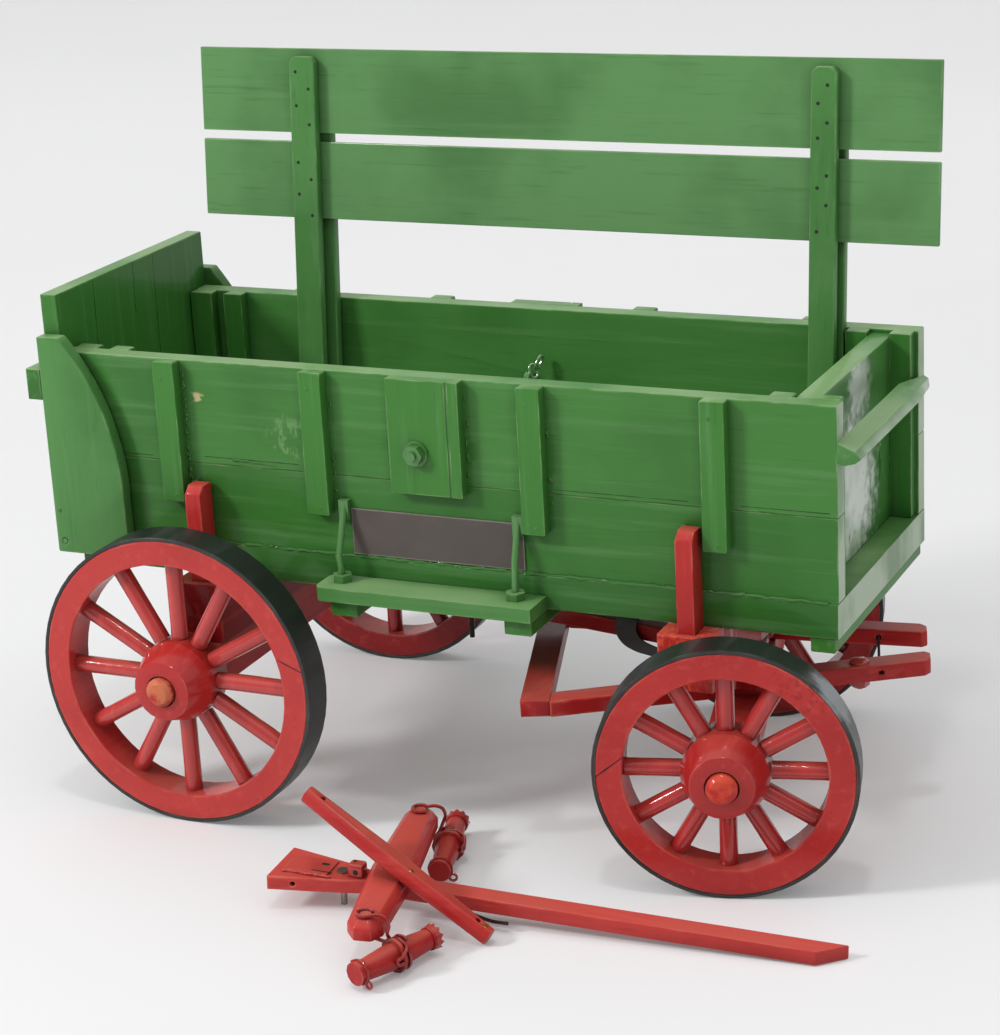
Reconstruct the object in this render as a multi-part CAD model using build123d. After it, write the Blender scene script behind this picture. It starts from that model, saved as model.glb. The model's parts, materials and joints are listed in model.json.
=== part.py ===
from build123d import *
import os
from math import asin, asinh, atan, atan2, ceil, cos, degrees, pi, radians, sin, sqrt, tan

# A hand-built wooden model of a farm box wagon, in millimetres.
# X runs forward from the back of the tailboard, Y to the wagon's left (the far side), Z up from the ground.
# SET_CENTRE is the middle of the wagon with its loose tongue, which the finished solids are moved to.
SET_CENTRE_X = 236.0
SET_CENTRE_Y = -54.7

# General clearances
FIT = 0.05            # running fit and socket clearance, on the radius
SEAT = 0.3            # room between a moving piece and what it lies beside
OVER = 1.0            # how far a cutting solid reaches beyond what it cuts

# Round pieces are many-sided, which keeps their facets few
RIM_SIDES = 60        # felloes and tyres
FINE_SIDES = 24       # hubs, axle ends and washers
ROD_SIDES = 12        # rods, pins, spokes, rings and turned sticks

# Box
BOX_END = 450.0       # front ends of the side boards
BOX_WIDTH = 155.0     # over the side boards
WALL = 11.0           # side board thickness
LOWER_BOARD = 44.5    # height of a lower side board
UPPER_BOARD = 57.5    # height of an upper side board
FLOOR_UNDER = 127.5   # underside of the floor, on the bolsters
FLOOR_THICK = 18.5
FLOOR_PROUD = 1.0     # floor edge beyond the side boards
SILL_THICK = 8.0      # cross sills under the floor
SILL_LONG = 13.0
SILL_IN = 2.0         # end sills from the floor's ends

# Cleats on the side boards
CLEAT_THICK = 7.0
CLEAT_WIDE = 13.0
CLEAT_FOOT = 169.5    # lower ends of the outer cleats
FRONT_CLEAT_IN = 61.7   # front cleat's middle behind the side boards' front ends
CLEAT_MIDDLES = (77.0, 165.5, 290.0, BOX_END - FRONT_CLEAT_IN)
BLOCK_BACK = 210.0    # the wide bolted block on each side
BLOCK_LONG = 41.0
BLOCK_FOOT = 186.0
BLOCK_GROOVE = 34.0   # seam in the block, from its back edge
BLOCK_GROOVE_WIDE = 1.0
BLOCK_GROOVE_DEEP = 1.5
BLOCK_BOLT_IN = 15.6  # bolt's middle from the block's back edge
INNER_CLEAT_THICK = 7.5
INNER_CLEAT_WIDE = 12.0
TAIL_CLEAT_WIDE = 14.0  # inner cleat at the tail, with a slot ahead of it
TAIL_SLOT = 8.0

# Front end
END_IN = 14.0         # front face of the endboard behind the side boards' front ends
END_THICK = 12.0
END_DROP = 2.0        # endboard top below the side boards' tops
FRONT_BAR_Z = 218.0   # underside of the front crossbar
FRONT_BAR_WHITTLE = 30.0  # where the bar's far end starts to be whittled away
# Columns: out from the side boards' ends, up from the underside; for the full bar and for its whittled tip
FRONT_BAR_SECTION = ((0, 1.0), (3.5, 0), (9.0, 1.6), (12.0, 3.9), (9.0, 7.7), (0, 11.5))
FRONT_BAR_TIP = ((0, -5.0), (1.0, -5.5), (2.4, -4.5), (3.0, -2.5), (2.4, 1.5), (0, 3.0))

# Tail end: a scoop board with a curved wing at each side, hinged on a rod under its lower edge
TAIL_THICK = 10.0
TAIL_TOP = 280.0
TAIL_GAP = 0.5        # between the tailboard and the box
WING_THICK = 8.0
WING_GAP = 1.5        # between a wing and a side board
WING_LONG = 46.0
WING_FOOT = 134.5
WING_TOP = 258.0
WING_BEND = 168.0     # where the wing's front edge starts to curve
WING_TIP = 14.0       # width of the wing's top
WING_SAGITTA = 9.0    # rise of the curved edge over its chord
TAIL_BAR_LONG = 9.0
TAIL_BAR_FOOT = 222.0
TAIL_BAR_TALL = 17.5
HINGE_ROD_R = 1.5
HINGE_EYE_R = 3.6
HINGE_EYE_WIDE = 7.0
HINGE_EYE_Y = 45.0
HINGE_DROP = 1.9      # between the tailboard's lower edge and the eyes

# Step on the near side
STEP_BACK = 168.0
STEP_FRONT_IN = 81.5  # step's front end behind the king pin
STEP_DEEP = 22.0
STEP_THICK = 7.5
STEP_SILL_REACH = 18.0  # step sills beyond the side boards
STEP_SILL_THICK = 9.5
STEP_SILL_LONG = 15.5
STEP_SILL_BACK_IN = 7.0   # sills from the step's back and front ends
STEP_SILL_FRONT_IN = 2.0
STEP_ROD_R = 1.9
STEP_ROD_TOP = 176.0
STEP_NUT_OUT = 10.0   # nut's middle from the side board
# Columns: the knee of each rod, out from the side board and up
STEP_ROD_KNEES = ((12.2, 150.0), (8.6, 155.0))
STEP_NUT_FLATS = 9.5
STEP_NUT_TALL = 4.0
STEP_TAB_TALL = 9.0
STEP_TAB_LONG = 5.6
STEP_END_R = 5.0      # rounded corners of the step's back end

# Blank sign plate
PLATE_BACK = 182.0
PLATE_LONG = 99.5
PLATE_FOOT = 147.5
PLATE_TALL = 25.5
PLATE_THICK = 0.8

# Bang boards on two doubled posts that lean out on the far side's top edge
LEAN = 4.9            # degrees
BANG_ROOM = 0.2       # between the posts and the side board, and under the posts
POST_THICK = 6.0
BANG_THICK = 3.0
BANG_BACK = 26.0
BANG_LONG = 436.5
BANG_LOWER = 46.6     # foot of the lower board above the side's top, along the lean
BANG_LOWER_TALL = 43.7
BANG_SPACE = 5.0
BANG_UPPER_TALL = 47.3
POST_TOP = 138.5
POST_CORNER = 3.0
FRONT_POST_IN = 56.0  # front post's back edge behind the side boards' front ends
# Columns: back edge of a post, its width, and how far forward its far strip is nailed
BANG_POSTS = ((86.5, 16.0, 5.0), (BOX_END - FRONT_POST_IN, 14.5, 2.5))

# Spreader chain between the two blocks' bolts
CHAIN_WIRE = 1.3
CHAIN_LINK_LONG = 9.0
CHAIN_LINK_WIDE = 5.4
CHAIN_CLIP = 0.3      # clipped corner of a link as a share of its width
CHAIN_SLACK = 0.3
CHAIN_SAG = 40.0
CHAIN_BOLT_R = 2.4
CHAIN_BOLT_Z = 208.5
CHAIN_NUT_FLATS = 9.5
CHAIN_NUT_TALL = 4.0
CHAIN_WASHER_R = 7.0
CHAIN_WASHER = 1.0    # thickness
CHAIN_EYE_OUT = 6.0   # eye centre from the inner face of a side
CHAIN_EYE_R = 3.3
CHAIN_EYE_WIRE = 0.8
CHAIN_EYE_NECK = 0.3  # shank's end from the middle of the eye's wire
CHAIN_END = 5.1       # last link's middle from the eye's
CHAIN_BOLT_TIP = 2.5  # thread beyond the nut

# Wheels
REAR_WHEEL_R = 82.0
FRONT_WHEEL_R = 67.0
WHEEL_OUT = 127.0     # outer faces of the felloes from the centre plane
FELLOE_WIDE = 20.0
FELLOE_DEEP = 13.5
TYRE_THICK = 2.0
REAR_FAR_OUT = 17.0   # the rear axle is longer on the far side
SPOKES = 12
SPOKE_R = 4.7
HUB_R = 22.5
HUB_FACE_R = 16.5
HUB_BACK_R = 18.0
HUB_OUT = 14.0        # hub face beyond the felloe's outer face
HUB_IN = 4.0          # hub back beyond the felloe's inner face
HUB_WAIST = 9.0       # half the length of the hub's full part
SPINDLE_R = 8.0
SPINDLE_OUT = 18.5    # axle end beyond the felloe's outer face
SPINDLE_CHAMFER = 2.5

# Running gear
REAR_X = 93.0
FRONT_IN = 75.5       # king pin behind the side boards' front ends
AXLE_LONG = 24.0      # along X
AXLE_HALF = 101.0     # shoulders that the hubs run against
REAR_AXLE_FOOT = 70.0
REAR_AXLE_TALL = 24.0
FRONT_AXLE_FOOT = 54.0
FRONT_AXLE_TALL = 23.8
BOLSTER_LONG = 29.0   # along X
BOLSTER_HALF = 96.0
SAND_TOP = 97.5       # top of the sand board that the front bolster turns on
SAND_HALF = 60.0
BOLSTER_ROOM = 0.5    # between the sand board and the front bolster
STAKE_ROOM = 0.5      # between the stakes and the floor's edges
STAKE_LONG = 9.5
STAKE_DEEP = 13.0
STAKE_TOP = 181.0
STAKE_TENON = 12.0    # stake foot in the bolster
STAKE_CROWN = 4.0
REACH_WIDE = 12.0
REACH_TALL = 9.0
REACH_FRONT_Z = 80.3  # underside at the king pin
REACH_REAR_Z = 105.0  # underside at the rear bolster
REACH_TAIL = 26.0     # behind the rear axle
REACH_NOSE = 14.0     # ahead of the king pin
REACH_SWING = 7.5     # room beside the reach in the sand board's notch
REACH_ROOM = 2.5      # room over the reach in the notch
KING_R = 3.0
KING_FOOT = 48.0
KING_IN = 0.5         # pin's top below the floor

STRAP_R = 9.0         # bent strap behind the rear bolster
STRAP_LEG = 9.0
STRAP_THICK = 2.0
STRAP_TALL = 12.0
STRAP_Y = -60.0
STRAP_Z = 103.0
AXLE_BOLT_Y = 40.0
AXLE_BOLT_X = 2.0     # ahead of the axle's middle
AXLE_BOLT_R = 1.6
AXLE_BOLT_TIP = 2.5
AXLE_NUT_FLATS = 8.0
AXLE_NUT_TALL = 3.0

# Front hounds and sway bar, turned with the front axle
PARKED_STEER = 13.7   # degrees to the left, as it stands
HOUND_SKEW = 4.5      # the hounds' own set to the axle, degrees
HOUND_PITCH = 1.0     # degrees up towards the nose
HOUND_FOOT = 77.5     # underside at the king pin
HOUND_THICK = 9.0
HOUND_WIDE = 13.5
HOUND_NOSE = 96.0     # ahead of the king pin
HOUND_NOSE_V = 19.6   # from the centre line at the nose
HOUND_TAIL_V = 64.0   # from the centre line at the sway bar
HOUND_CORNER = 3.0
SWAY_FRONT = -101.0
SWAY_LONG = 15.5
SWAY_HALF = 69.5
TONGUE_PIN_U = 70.0   # tongue pin bore ahead of the king pin
TONGUE_PIN_R = 1.3

# Loose tongue on the ground, with its doubletree, singletrees and neck yoke
TONGUE_X = 187.0
TONGUE_Y = -191.5
TONGUE_HEADING = 4.0
TONGUE_LONG = 295.0
TONGUE_THICK = 7.5
TONGUE_HALF = 6.0
BUTT_HALF = 17.5
BUTT_LONG = 38.0
NECK_HALF = 9.5
NECK_LONG = 12.0
TIP_CUT = 14.0
TONGUE_RISE = 12.3    # underside of the butt above the ground
NAIL_R = 1.6
NAIL_HEAD_R = 3.2
NAIL_HEAD = 1.0
NAIL_S = 35.0         # along the tongue
NAIL_LIFT = 0.2       # nail's tip above the ground
BUTT_BORE_S = 13.0
PIVOT_S = 63.0
PIVOT_BELOW = 5.0
TREE_HALF = 67.0
TREE_MID_HALF = 11.5
TREE_END_HALF = 9.0
TREE_THICK = 10.0
TREE_CHAMFER = 3.5
TREE_CORNER = 7.0     # clipped corners of the doubletree's ends
TREE_YAW = 8.6
SINGLE_R = 7.0
SINGLE_END_R = 4.9
FERRULE_R = 6.0
FERRULE_LONG = 4.0
# Columns: side, middle X, middle Y, heading, half length, end of the doubletree
SINGLETREES = (("near", 278.5, -246.0, 68.0, 25.5, -1), ("far", 252.0, -128.0, 106.0, 30.0, 1))
LINK_WIRE_R = 0.9
CLIP_ROOM = 0.1
CLIP_GRIP = 40.0      # where a clip's arm is joined to it, in degrees above the level
TREE_PIN_V = 59.0     # singletree pins along the doubletree
TREE_PIN_BELOW = 3.0
TREE_PIN_R = 1.5
TREE_PIN_HEAD_R = 3.0
YOKE_FOOT_X = 308.0
YOKE_FOOT_Y = -206.0
YOKE_LIFT = 0.1
YOKE_LONG = 117.0
YOKE_WIDE = 12.5
YOKE_THICK = 9.0
YOKE_TAPER = 2.0
YOKE_CHAMFER = 2.4
YOKE_HOLE_R = 1.2
YOKE_HOLE_IN = 9.0    # holes from the yoke's ends
YOKE_RISE = 31.0      # degrees, leaning on the doubletree
YOKE_HEADING = 176.0

# Heights and places that follow
FLOOR_TOP = FLOOR_UNDER + FLOOR_THICK
SEAM = FLOOR_TOP + LOWER_BOARD
BOX_TOP = SEAM + UPPER_BOARD
HALF = BOX_WIDTH / 2
INSIDE = HALF - WALL
BOX_START = TAIL_THICK + TAIL_GAP
END_BACK = BOX_END - END_IN - END_THICK
BLOCK_BOLT_X = BLOCK_BACK + BLOCK_BOLT_IN
FRONT_X = BOX_END - FRONT_IN
STEP_LONG = FRONT_X - STEP_FRONT_IN - STEP_BACK
SIDES = (("near", -1), ("far", 1))

parts = {}


def block(x, y, z):
    """A box between two corners, given as (low, high) pairs."""
    (x0, x1), (y0, y1), (z0, z1) = x, y, z
    size = Box(abs(x1 - x0), abs(y1 - y0), abs(z1 - z0))
    return Pos((x0 + x1) / 2, (y0 + y1) / 2, (z0 + z1) / 2) * size


def plate_xz(outline, y0, y1):
    """A flat piece cut to an outline in X and Z, between two places across the wagon."""
    face = make_face(Polyline(*[(x, z) for x, z in outline], close=True))
    return Pos(0, max(y0, y1), 0) * Rot(90, 0, 0) * extrude(face, abs(y1 - y0))


def both(near_piece):
    """A piece of the near side with its mirror image on the far side."""
    return [near_piece, mirror(near_piece, Plane.XZ)]


def group(pieces):
    """Several loose solids as one sub-part."""
    return Compound([solid for piece in pieces for solid in piece.solids()])


def prism(start, end, face):
    """A face extruded from one point to another."""
    a, b = Vector(*start), Vector(*end)
    return Plane(origin=a, z_dir=b - a).location * extrude(face, (b - a).length)


def rod(start, end, radius, sides=ROD_SIDES):
    """A round bar between two points, with its corners on the radius."""
    return prism(start, end, RegularPolygon(radius, sides))


def rod_hole(start, end, radius, sides=ROD_SIDES):
    """What is cut away for a rod of a radius, with its flats clear of the rod by the fit."""
    return prism(start, end, RegularPolygon(radius + FIT, sides, major_radius=False))


def round_bore(start, end, radius):
    """What is cut away for a truly round hole between two points."""
    return prism(start, end, Circle(radius))


def turned(sections, sides):
    """A turned piece along Z from a rising table of heights and radii, flat-sided between two heights."""
    piece = Part()
    for (low, low_r), (high, high_r) in zip(sections, sections[1:]):
        wide = max(low_r, high_r)
        slope = degrees(atan(abs(high_r - low_r) * cos(pi / sides) / (high - low)))
        stretch = extrude(RegularPolygon(wide, sides), high - low, taper=slope)
        piece += Pos(0, 0, low) * stretch if low_r == wide else Pos(0, 0, high) * Rot(180, 0, 0) * stretch
    return piece


def hexagon(flats, tall):
    return extrude(RegularPolygon(flats / 2, 6, major_radius=False), tall)


def band(radius, wire):
    """A bent wire's ring about Z, flat in section, clear of what fits inside it."""
    room = RegularPolygon(radius - wire, ROD_SIDES, major_radius=False)
    return Pos(0, 0, -wire) * extrude(RegularPolygon(radius + wire, ROD_SIDES) - room, 2 * wire)


# Box
def make_floor():
    half = HALF + FLOOR_PROUD
    parts["floor_board"] = block((BOX_START, BOX_END), (-half, half), (FLOOR_UNDER, FLOOR_TOP))
    sills = []
    for back in (BOX_START + SILL_IN, BOX_END - SILL_LONG - SILL_IN):
        sills.append(block((back, back + SILL_LONG), (-HALF, HALF), (FLOOR_UNDER - SILL_THICK, FLOOR_UNDER)))
    for back in step_sill_backs():
        near = -HALF - STEP_SILL_REACH
        foot = FLOOR_UNDER - STEP_SILL_THICK
        sills.append(block((back, back + STEP_SILL_LONG), (near, HALF), (foot, FLOOR_UNDER)))
    parts["floor_sills"] = group(sills)


def step_sill_backs():
    """Back edges of the two sills that carry the step."""
    return (STEP_BACK + STEP_SILL_BACK_IN, STEP_BACK + STEP_LONG - STEP_SILL_LONG - STEP_SILL_FRONT_IN)


def make_sides():
    for side, sign in SIDES:
        inner, outer = sign * INSIDE, sign * HALF
        parts[side + "_lower_board"] = block((BOX_START, BOX_END), (inner, outer), (FLOOR_TOP, SEAM))
        upper = block((BOX_START, BOX_END), (inner, outer), (SEAM, BOX_TOP))
        parts[side + "_upper_board"] = upper - bolt_hole(sign * (INSIDE - OVER), sign * (HALF + OVER))


def bolt_hole(start_y, end_y):
    return rod_hole((BLOCK_BOLT_X, start_y, CHAIN_BOLT_Z), (BLOCK_BOLT_X, end_y, CHAIN_BOLT_Z), CHAIN_BOLT_R)


def make_cleats():
    outer = []
    for middle in CLEAT_MIDDLES:
        strip = block((middle - CLEAT_WIDE / 2, middle + CLEAT_WIDE / 2), (-HALF - CLEAT_THICK, -HALF),
                      (CLEAT_FOOT, BOX_TOP))
        outer += both(strip)
    parts["outer_cleats"] = group(outer)

    face = -HALF - CLEAT_THICK
    wide = block((BLOCK_BACK, BLOCK_BACK + BLOCK_LONG), (face, -HALF), (BLOCK_FOOT, BOX_TOP))
    seam_x = BLOCK_BACK + BLOCK_GROOVE
    groove = block((seam_x, seam_x + BLOCK_GROOVE_WIDE), (face - OVER, face + BLOCK_GROOVE_DEEP),
                   (BLOCK_FOOT - OVER, BOX_TOP + OVER))
    parts["side_blocks"] = group(both(wide - groove - bolt_hole(face - OVER, -HALF + OVER)))

    inner = []
    tail = BOX_START + TAIL_GAP
    # Columns: back edge, length along X; a pair makes the tail's slot and a pair holds the front endboard
    for back, long in ((tail, TAIL_CLEAT_WIDE), (tail + TAIL_CLEAT_WIDE + TAIL_SLOT, INNER_CLEAT_WIDE),
                       (END_BACK - INNER_CLEAT_WIDE, INNER_CLEAT_WIDE),
                       (END_BACK + END_THICK, INNER_CLEAT_WIDE)):
        inner += both(block((back, back + long), (-INSIDE, -INSIDE + INNER_CLEAT_THICK), (FLOOR_TOP, BOX_TOP)))
    parts["inner_cleats"] = group(inner)


def make_front_end():
    parts["front_endboard"] = block((END_BACK, END_BACK + END_THICK), (-INSIDE, INSIDE),
                                    (FLOOR_TOP, BOX_TOP - END_DROP))
    parts["front_crossbar"] = front_bar_part(-HALF, FRONT_BAR_SECTION) + front_bar_part(HALF, FRONT_BAR_TIP)


def front_bar_part(end_y, end_section):
    """The front crossbar from the start of its whittled end to one of its ends."""
    faces = []
    for y, section in ((FRONT_BAR_WHITTLE, FRONT_BAR_SECTION), (end_y, end_section)):
        outline = Polyline(*[(BOX_END + out, y, FRONT_BAR_Z + up) for out, up in section], close=True)
        faces.append(make_face(outline))
    return loft(faces, ruled=True)


# Tail end
def make_tail():
    hinge_x, hinge_z = TAIL_THICK / 2, tail_hinge_z()
    half = HALF + WING_GAP
    parts["tailboard"] = block((0, TAIL_THICK), (-half, half), (FLOOR_TOP + TAIL_GAP, TAIL_TOP))
    parts["tail_crossbar"] = block((-TAIL_BAR_LONG, 0), (-half - WING_THICK, half + WING_THICK),
                                   (TAIL_BAR_FOOT, TAIL_BAR_FOOT + TAIL_BAR_TALL))

    bend, tip = (WING_LONG, WING_BEND), (WING_TIP, WING_TOP)
    chord = Vector(tip[0] - bend[0], tip[1] - bend[1])
    middle = Vector((bend[0] + tip[0]) / 2, (bend[1] + tip[1]) / 2)
    crown = middle + Vector(chord.Y, -chord.X).normalized() * WING_SAGITTA
    edge = Curve() + [
        Polyline((WING_TIP, WING_TOP), (0, WING_TOP), (0, WING_FOOT), (WING_LONG, WING_FOOT), bend),
        ThreePointArc(bend, (crown.X, crown.Y), tip),
    ]
    wing = Rot(90, 0, 0) * extrude(make_face(edge), WING_THICK)
    wing -= rod_hole((hinge_x, -WING_THICK - OVER, hinge_z), (hinge_x, OVER, hinge_z), HINGE_ROD_R)
    near_wing = Pos(0, -half, 0) * wing
    parts["tail_wings"] = group(both(near_wing))

    reach = half + WING_THICK
    parts["tail_hinge_rod"] = rod((hinge_x, -reach, hinge_z), (hinge_x, reach, hinge_z), HINGE_ROD_R)
    eyes = []
    for y in (-HINGE_EYE_Y, HINGE_EYE_Y):
        low, high = y - HINGE_EYE_WIDE / 2, y + HINGE_EYE_WIDE / 2
        eye = rod((hinge_x, low, hinge_z), (hinge_x, high, hinge_z), HINGE_EYE_R)
        arm = block((hinge_x, BOX_START), (low, high), (hinge_z - HINGE_EYE_R, hinge_z + HINGE_EYE_R))
        bore = rod_hole((hinge_x, low - OVER, hinge_z), (hinge_x, high + OVER, hinge_z), HINGE_ROD_R)
        eyes.append(eye + arm - bore)
    parts["tail_hinge_eyes"] = group(eyes)


def tail_hinge_z():
    """The hinge rod runs just under the tailboard's lower edge."""
    return FLOOR_TOP + TAIL_GAP - HINGE_EYE_R - HINGE_DROP


# Step and sign plate
def make_step():
    near = -HALF - FLOOR_PROUD - SEAT - STEP_DEEP
    top = FLOOR_UNDER + STEP_THICK
    board = block((STEP_BACK, STEP_BACK + STEP_LONG), (near, near + STEP_DEEP), (FLOOR_UNDER, top))
    board = fillet(board.edges().filter_by(Axis.Z).sort_by(Axis.X)[:2], STEP_END_R)
    nut_y = -HALF - STEP_NUT_OUT
    nut_top = top + STEP_NUT_TALL
    wall = block((0, BOX_END), (-HALF, 0), (0, BOX_TOP))
    rods = []
    for back, (knee_out, knee_z) in zip(step_sill_backs(), STEP_ROD_KNEES):
        x = back + STEP_SILL_LONG / 4
        board -= rod_hole((x, nut_y, FLOOR_UNDER - OVER), (x, nut_y, top + OVER), STEP_ROD_R)
        path = Polyline((x, nut_y, FLOOR_UNDER), (x, nut_y, nut_top), (x, -HALF - knee_out, knee_z),
                        (x, -HALF - STEP_ROD_R, STEP_ROD_TOP))
        section = Plane(origin=path @ 0, z_dir=path % 0).location * RegularPolygon(STEP_ROD_R, ROD_SIDES)
        stem = sweep(section, path, transition=Transition.RIGHT) - wall
        stem += Pos(x, nut_y, top) * hexagon(STEP_NUT_FLATS, STEP_NUT_TALL)
        stem += block((x - STEP_TAB_LONG / 2, x + STEP_TAB_LONG / 2), (-HALF - 2 * STEP_ROD_R, -HALF),
                      (STEP_ROD_TOP - STEP_TAB_TALL, STEP_ROD_TOP + STEP_ROD_R))
        rods.append(stem - plate_block(FIT))
    parts["step_board"] = board
    parts["step_rods"] = group(rods)


def plate_block(room=0.0):
    """The plate's block, grown by some room for what lies over it."""
    return block((PLATE_BACK - room, PLATE_BACK + PLATE_LONG + room), (-HALF - PLATE_THICK - room, -HALF),
                 (PLATE_FOOT - room, PLATE_FOOT + PLATE_TALL + room))


def make_plate():
    parts["sign_plate"] = plate_block()


# Bang boards
def make_bang_boards():
    stand = Pos(0, INSIDE - BANG_ROOM, BOX_TOP) * Rot(-LEAN, 0, 0)
    foot = (FLOOR_TOP - BOX_TOP) / cos(radians(LEAN)) + BANG_ROOM
    lower = (BANG_LOWER, BANG_LOWER + BANG_LOWER_TALL)
    upper = (lower[1] + BANG_SPACE, lower[1] + BANG_SPACE + BANG_UPPER_TALL)
    across = (-POST_THICK - BANG_THICK, -POST_THICK)
    boards = [stand * block((BANG_BACK, BANG_BACK + BANG_LONG), across, heights) for heights in (lower, upper)]
    parts["bang_boards"] = group(boards)
    posts = []
    for near_back, wide, forward in BANG_POSTS:
        for y, back in ((-POST_THICK, near_back + forward), (-2 * POST_THICK - BANG_THICK, near_back)):
            outline = ((back, foot), (back + wide, foot), (back + wide, POST_TOP - POST_CORNER),
                       (back + wide - POST_CORNER, POST_TOP), (back + POST_CORNER, POST_TOP),
                       (back, POST_TOP - POST_CORNER))
            posts.append(stand * plate_xz(outline, y, y + POST_THICK))
    parts["bang_posts"] = group(posts)


# Spreader chain
def chain_link():
    """One link along X, its wire square in section and its ends clipped like an octagon."""
    def ring(long, wide):
        clip = wide * CHAIN_CLIP
        a, b = long / 2, wide / 2
        return make_face(Polyline((a, b - clip), (a - clip, b), (clip - a, b), (-a, b - clip), (-a, clip - b),
                                  (clip - a, -b), (a - clip, -b), (a, clip - b), close=True))
    hollow = ring(CHAIN_LINK_LONG - 2 * CHAIN_WIRE, CHAIN_LINK_WIDE - 2 * CHAIN_WIRE)
    return Pos(0, 0, -CHAIN_WIRE / 2) * extrude(ring(CHAIN_LINK_LONG, CHAIN_LINK_WIDE) - hollow, CHAIN_WIRE)


def make_chain():
    """Links along a parabola that hangs between the eyes of the two bolts."""
    half = INSIDE - CHAIN_EYE_OUT
    steep = 2 * CHAIN_SAG / half

    def arc_length(y):
        slope = steep * y / half
        return half / (2 * steep) * (slope * sqrt(1 + slope * slope) + asinh(slope))

    def place(length):
        low, high = 0.0, half
        for _ in range(40):
            mid = (low + high) / 2
            low, high = (mid, high) if arc_length(mid) < length else (low, mid)
        return low

    # The last link's end bar lies inside the bolt's eye, and every second link lies flat
    last = arc_length(half) - CHAIN_END
    count = 2 * ceil(last / (CHAIN_LINK_LONG - 2 * CHAIN_WIRE - CHAIN_SLACK) / 2)
    links = []
    for i in range(-count, count + 1):
        y = place(abs(i) * last / count) * (1 if i >= 0 else -1)
        z = CHAIN_BOLT_Z - CHAIN_SAG + CHAIN_SAG * (y / half) ** 2
        heading = degrees(atan(steep * y / half))
        turn = 90 if i % 2 else 0
        along = Pos(BLOCK_BOLT_X, y, z) * Rot(heading, 0, 0) * Rot(0, 0, 90)
        links.append(along * Rot(turn, 0, 0) * chain_link())
    parts["spreader_chain"] = group(links)

    bolts = []
    for side, sign in SIDES:
        shank_y = sign * (half + CHAIN_EYE_R + CHAIN_EYE_NECK)
        out_y = sign * (HALF + CLEAT_THICK)
        tip_y = out_y + sign * (CHAIN_NUT_TALL + CHAIN_BOLT_TIP)
        shank = rod((BLOCK_BOLT_X, shank_y, CHAIN_BOLT_Z), (BLOCK_BOLT_X, tip_y, CHAIN_BOLT_Z), CHAIN_BOLT_R)
        eye = Pos(BLOCK_BOLT_X, sign * half, CHAIN_BOLT_Z) * Rot(0, 90, 0) * band(CHAIN_EYE_R, CHAIN_EYE_WIRE)
        outward = Pos(BLOCK_BOLT_X, out_y, CHAIN_BOLT_Z) * Rot(-90 * sign, 0, 0)
        washer = outward * extrude(RegularPolygon(CHAIN_WASHER_R, FINE_SIDES), CHAIN_WASHER)
        nut = outward * Pos(0, 0, CHAIN_WASHER) * hexagon(CHAIN_NUT_FLATS, CHAIN_NUT_TALL)
        bolts.append(shank + eye + washer + nut)
    parts["chain_bolts"] = group(bolts)


# Wheels, each built about its own axle along Y with its face towards -Y
def make_wheel(name, radius, location):
    rim = radius - TYRE_THICK
    inner = rim - FELLOE_DEEP
    half = FELLOE_WIDE / 2
    lie = Rot(90, 0, 0)

    def ring(outside, inside):
        face = RegularPolygon(outside, RIM_SIDES) - RegularPolygon(inside, RIM_SIDES)
        return lie * Pos(0, 0, -half) * extrude(face, FELLOE_WIDE)

    face, back = half + HUB_OUT, half + HUB_IN
    # Columns: place along the axle, outwards from the felloe's middle, and radius
    sections = ((-back, HUB_BACK_R), (-HUB_WAIST, HUB_R), (HUB_WAIST, HUB_R), (face, HUB_FACE_R))
    hub = turned(sections, FINE_SIDES)
    hub -= rod_hole((0, 0, -back - OVER), (0, 0, face + OVER), SPINDLE_R, FINE_SIDES)

    # A spoke points at a corner of the felloe's inside, and its flat end stops where its own corners meet it
    reach = inner - SPOKE_R * tan(pi / RIM_SIDES) - FIT
    stick = rod((0, 0, HUB_R + FIT), (0, 0, reach), SPOKE_R)
    spokes = [Rot(0, i * 360.0 / SPOKES, 0) * stick for i in range(SPOKES)]
    parts[name + "_hub"] = location * lie * hub
    parts[name + "_spokes"] = group([location * s for s in spokes])
    parts[name + "_felloe"] = location * ring(rim, inner)
    parts[name + "_tyre"] = location * ring(radius, rim)


def make_wheels():
    front = front_place()
    for side, sign in SIDES:
        face = Rot(0, 0, 0) if sign < 0 else Rot(0, 0, 180)
        make_wheel(f"rear_{side}", REAR_WHEEL_R, Pos(REAR_X, wheel_y(sign, REAR_FAR_OUT), REAR_WHEEL_R) * face)
        make_wheel(f"front_{side}", FRONT_WHEEL_R, front * Pos(0, wheel_y(sign), FRONT_WHEEL_R) * face)


def wheel_y(sign, far_out=0.0):
    """The middle of a wheel along its axle."""
    return sign * (WHEEL_OUT - FELLOE_WIDE / 2) + (far_out if sign > 0 else 0.0)


# Running gear under the box
def axle(foot, tall, spindle_z, far_out=0.0):
    """An axle beam with a round spindle at each end, longer on the far side by far_out."""
    beam = block((-AXLE_LONG / 2, AXLE_LONG / 2), (-AXLE_HALF, AXLE_HALF + far_out), (foot, foot + tall))
    for sign, out in ((-1, 0.0), (1, far_out)):
        shoulder, tip = sign * (AXLE_HALF + out - OVER), sign * (WHEEL_OUT + SPINDLE_OUT + out)
        spindle = rod((0, shoulder, spindle_z), (0, tip, spindle_z), SPINDLE_R, FINE_SIDES)
        end = spindle.edges().group_by(Axis.Y)[0 if sign < 0 else -1]
        beam += chamfer(end, SPINDLE_CHAMFER)
    return beam


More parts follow.
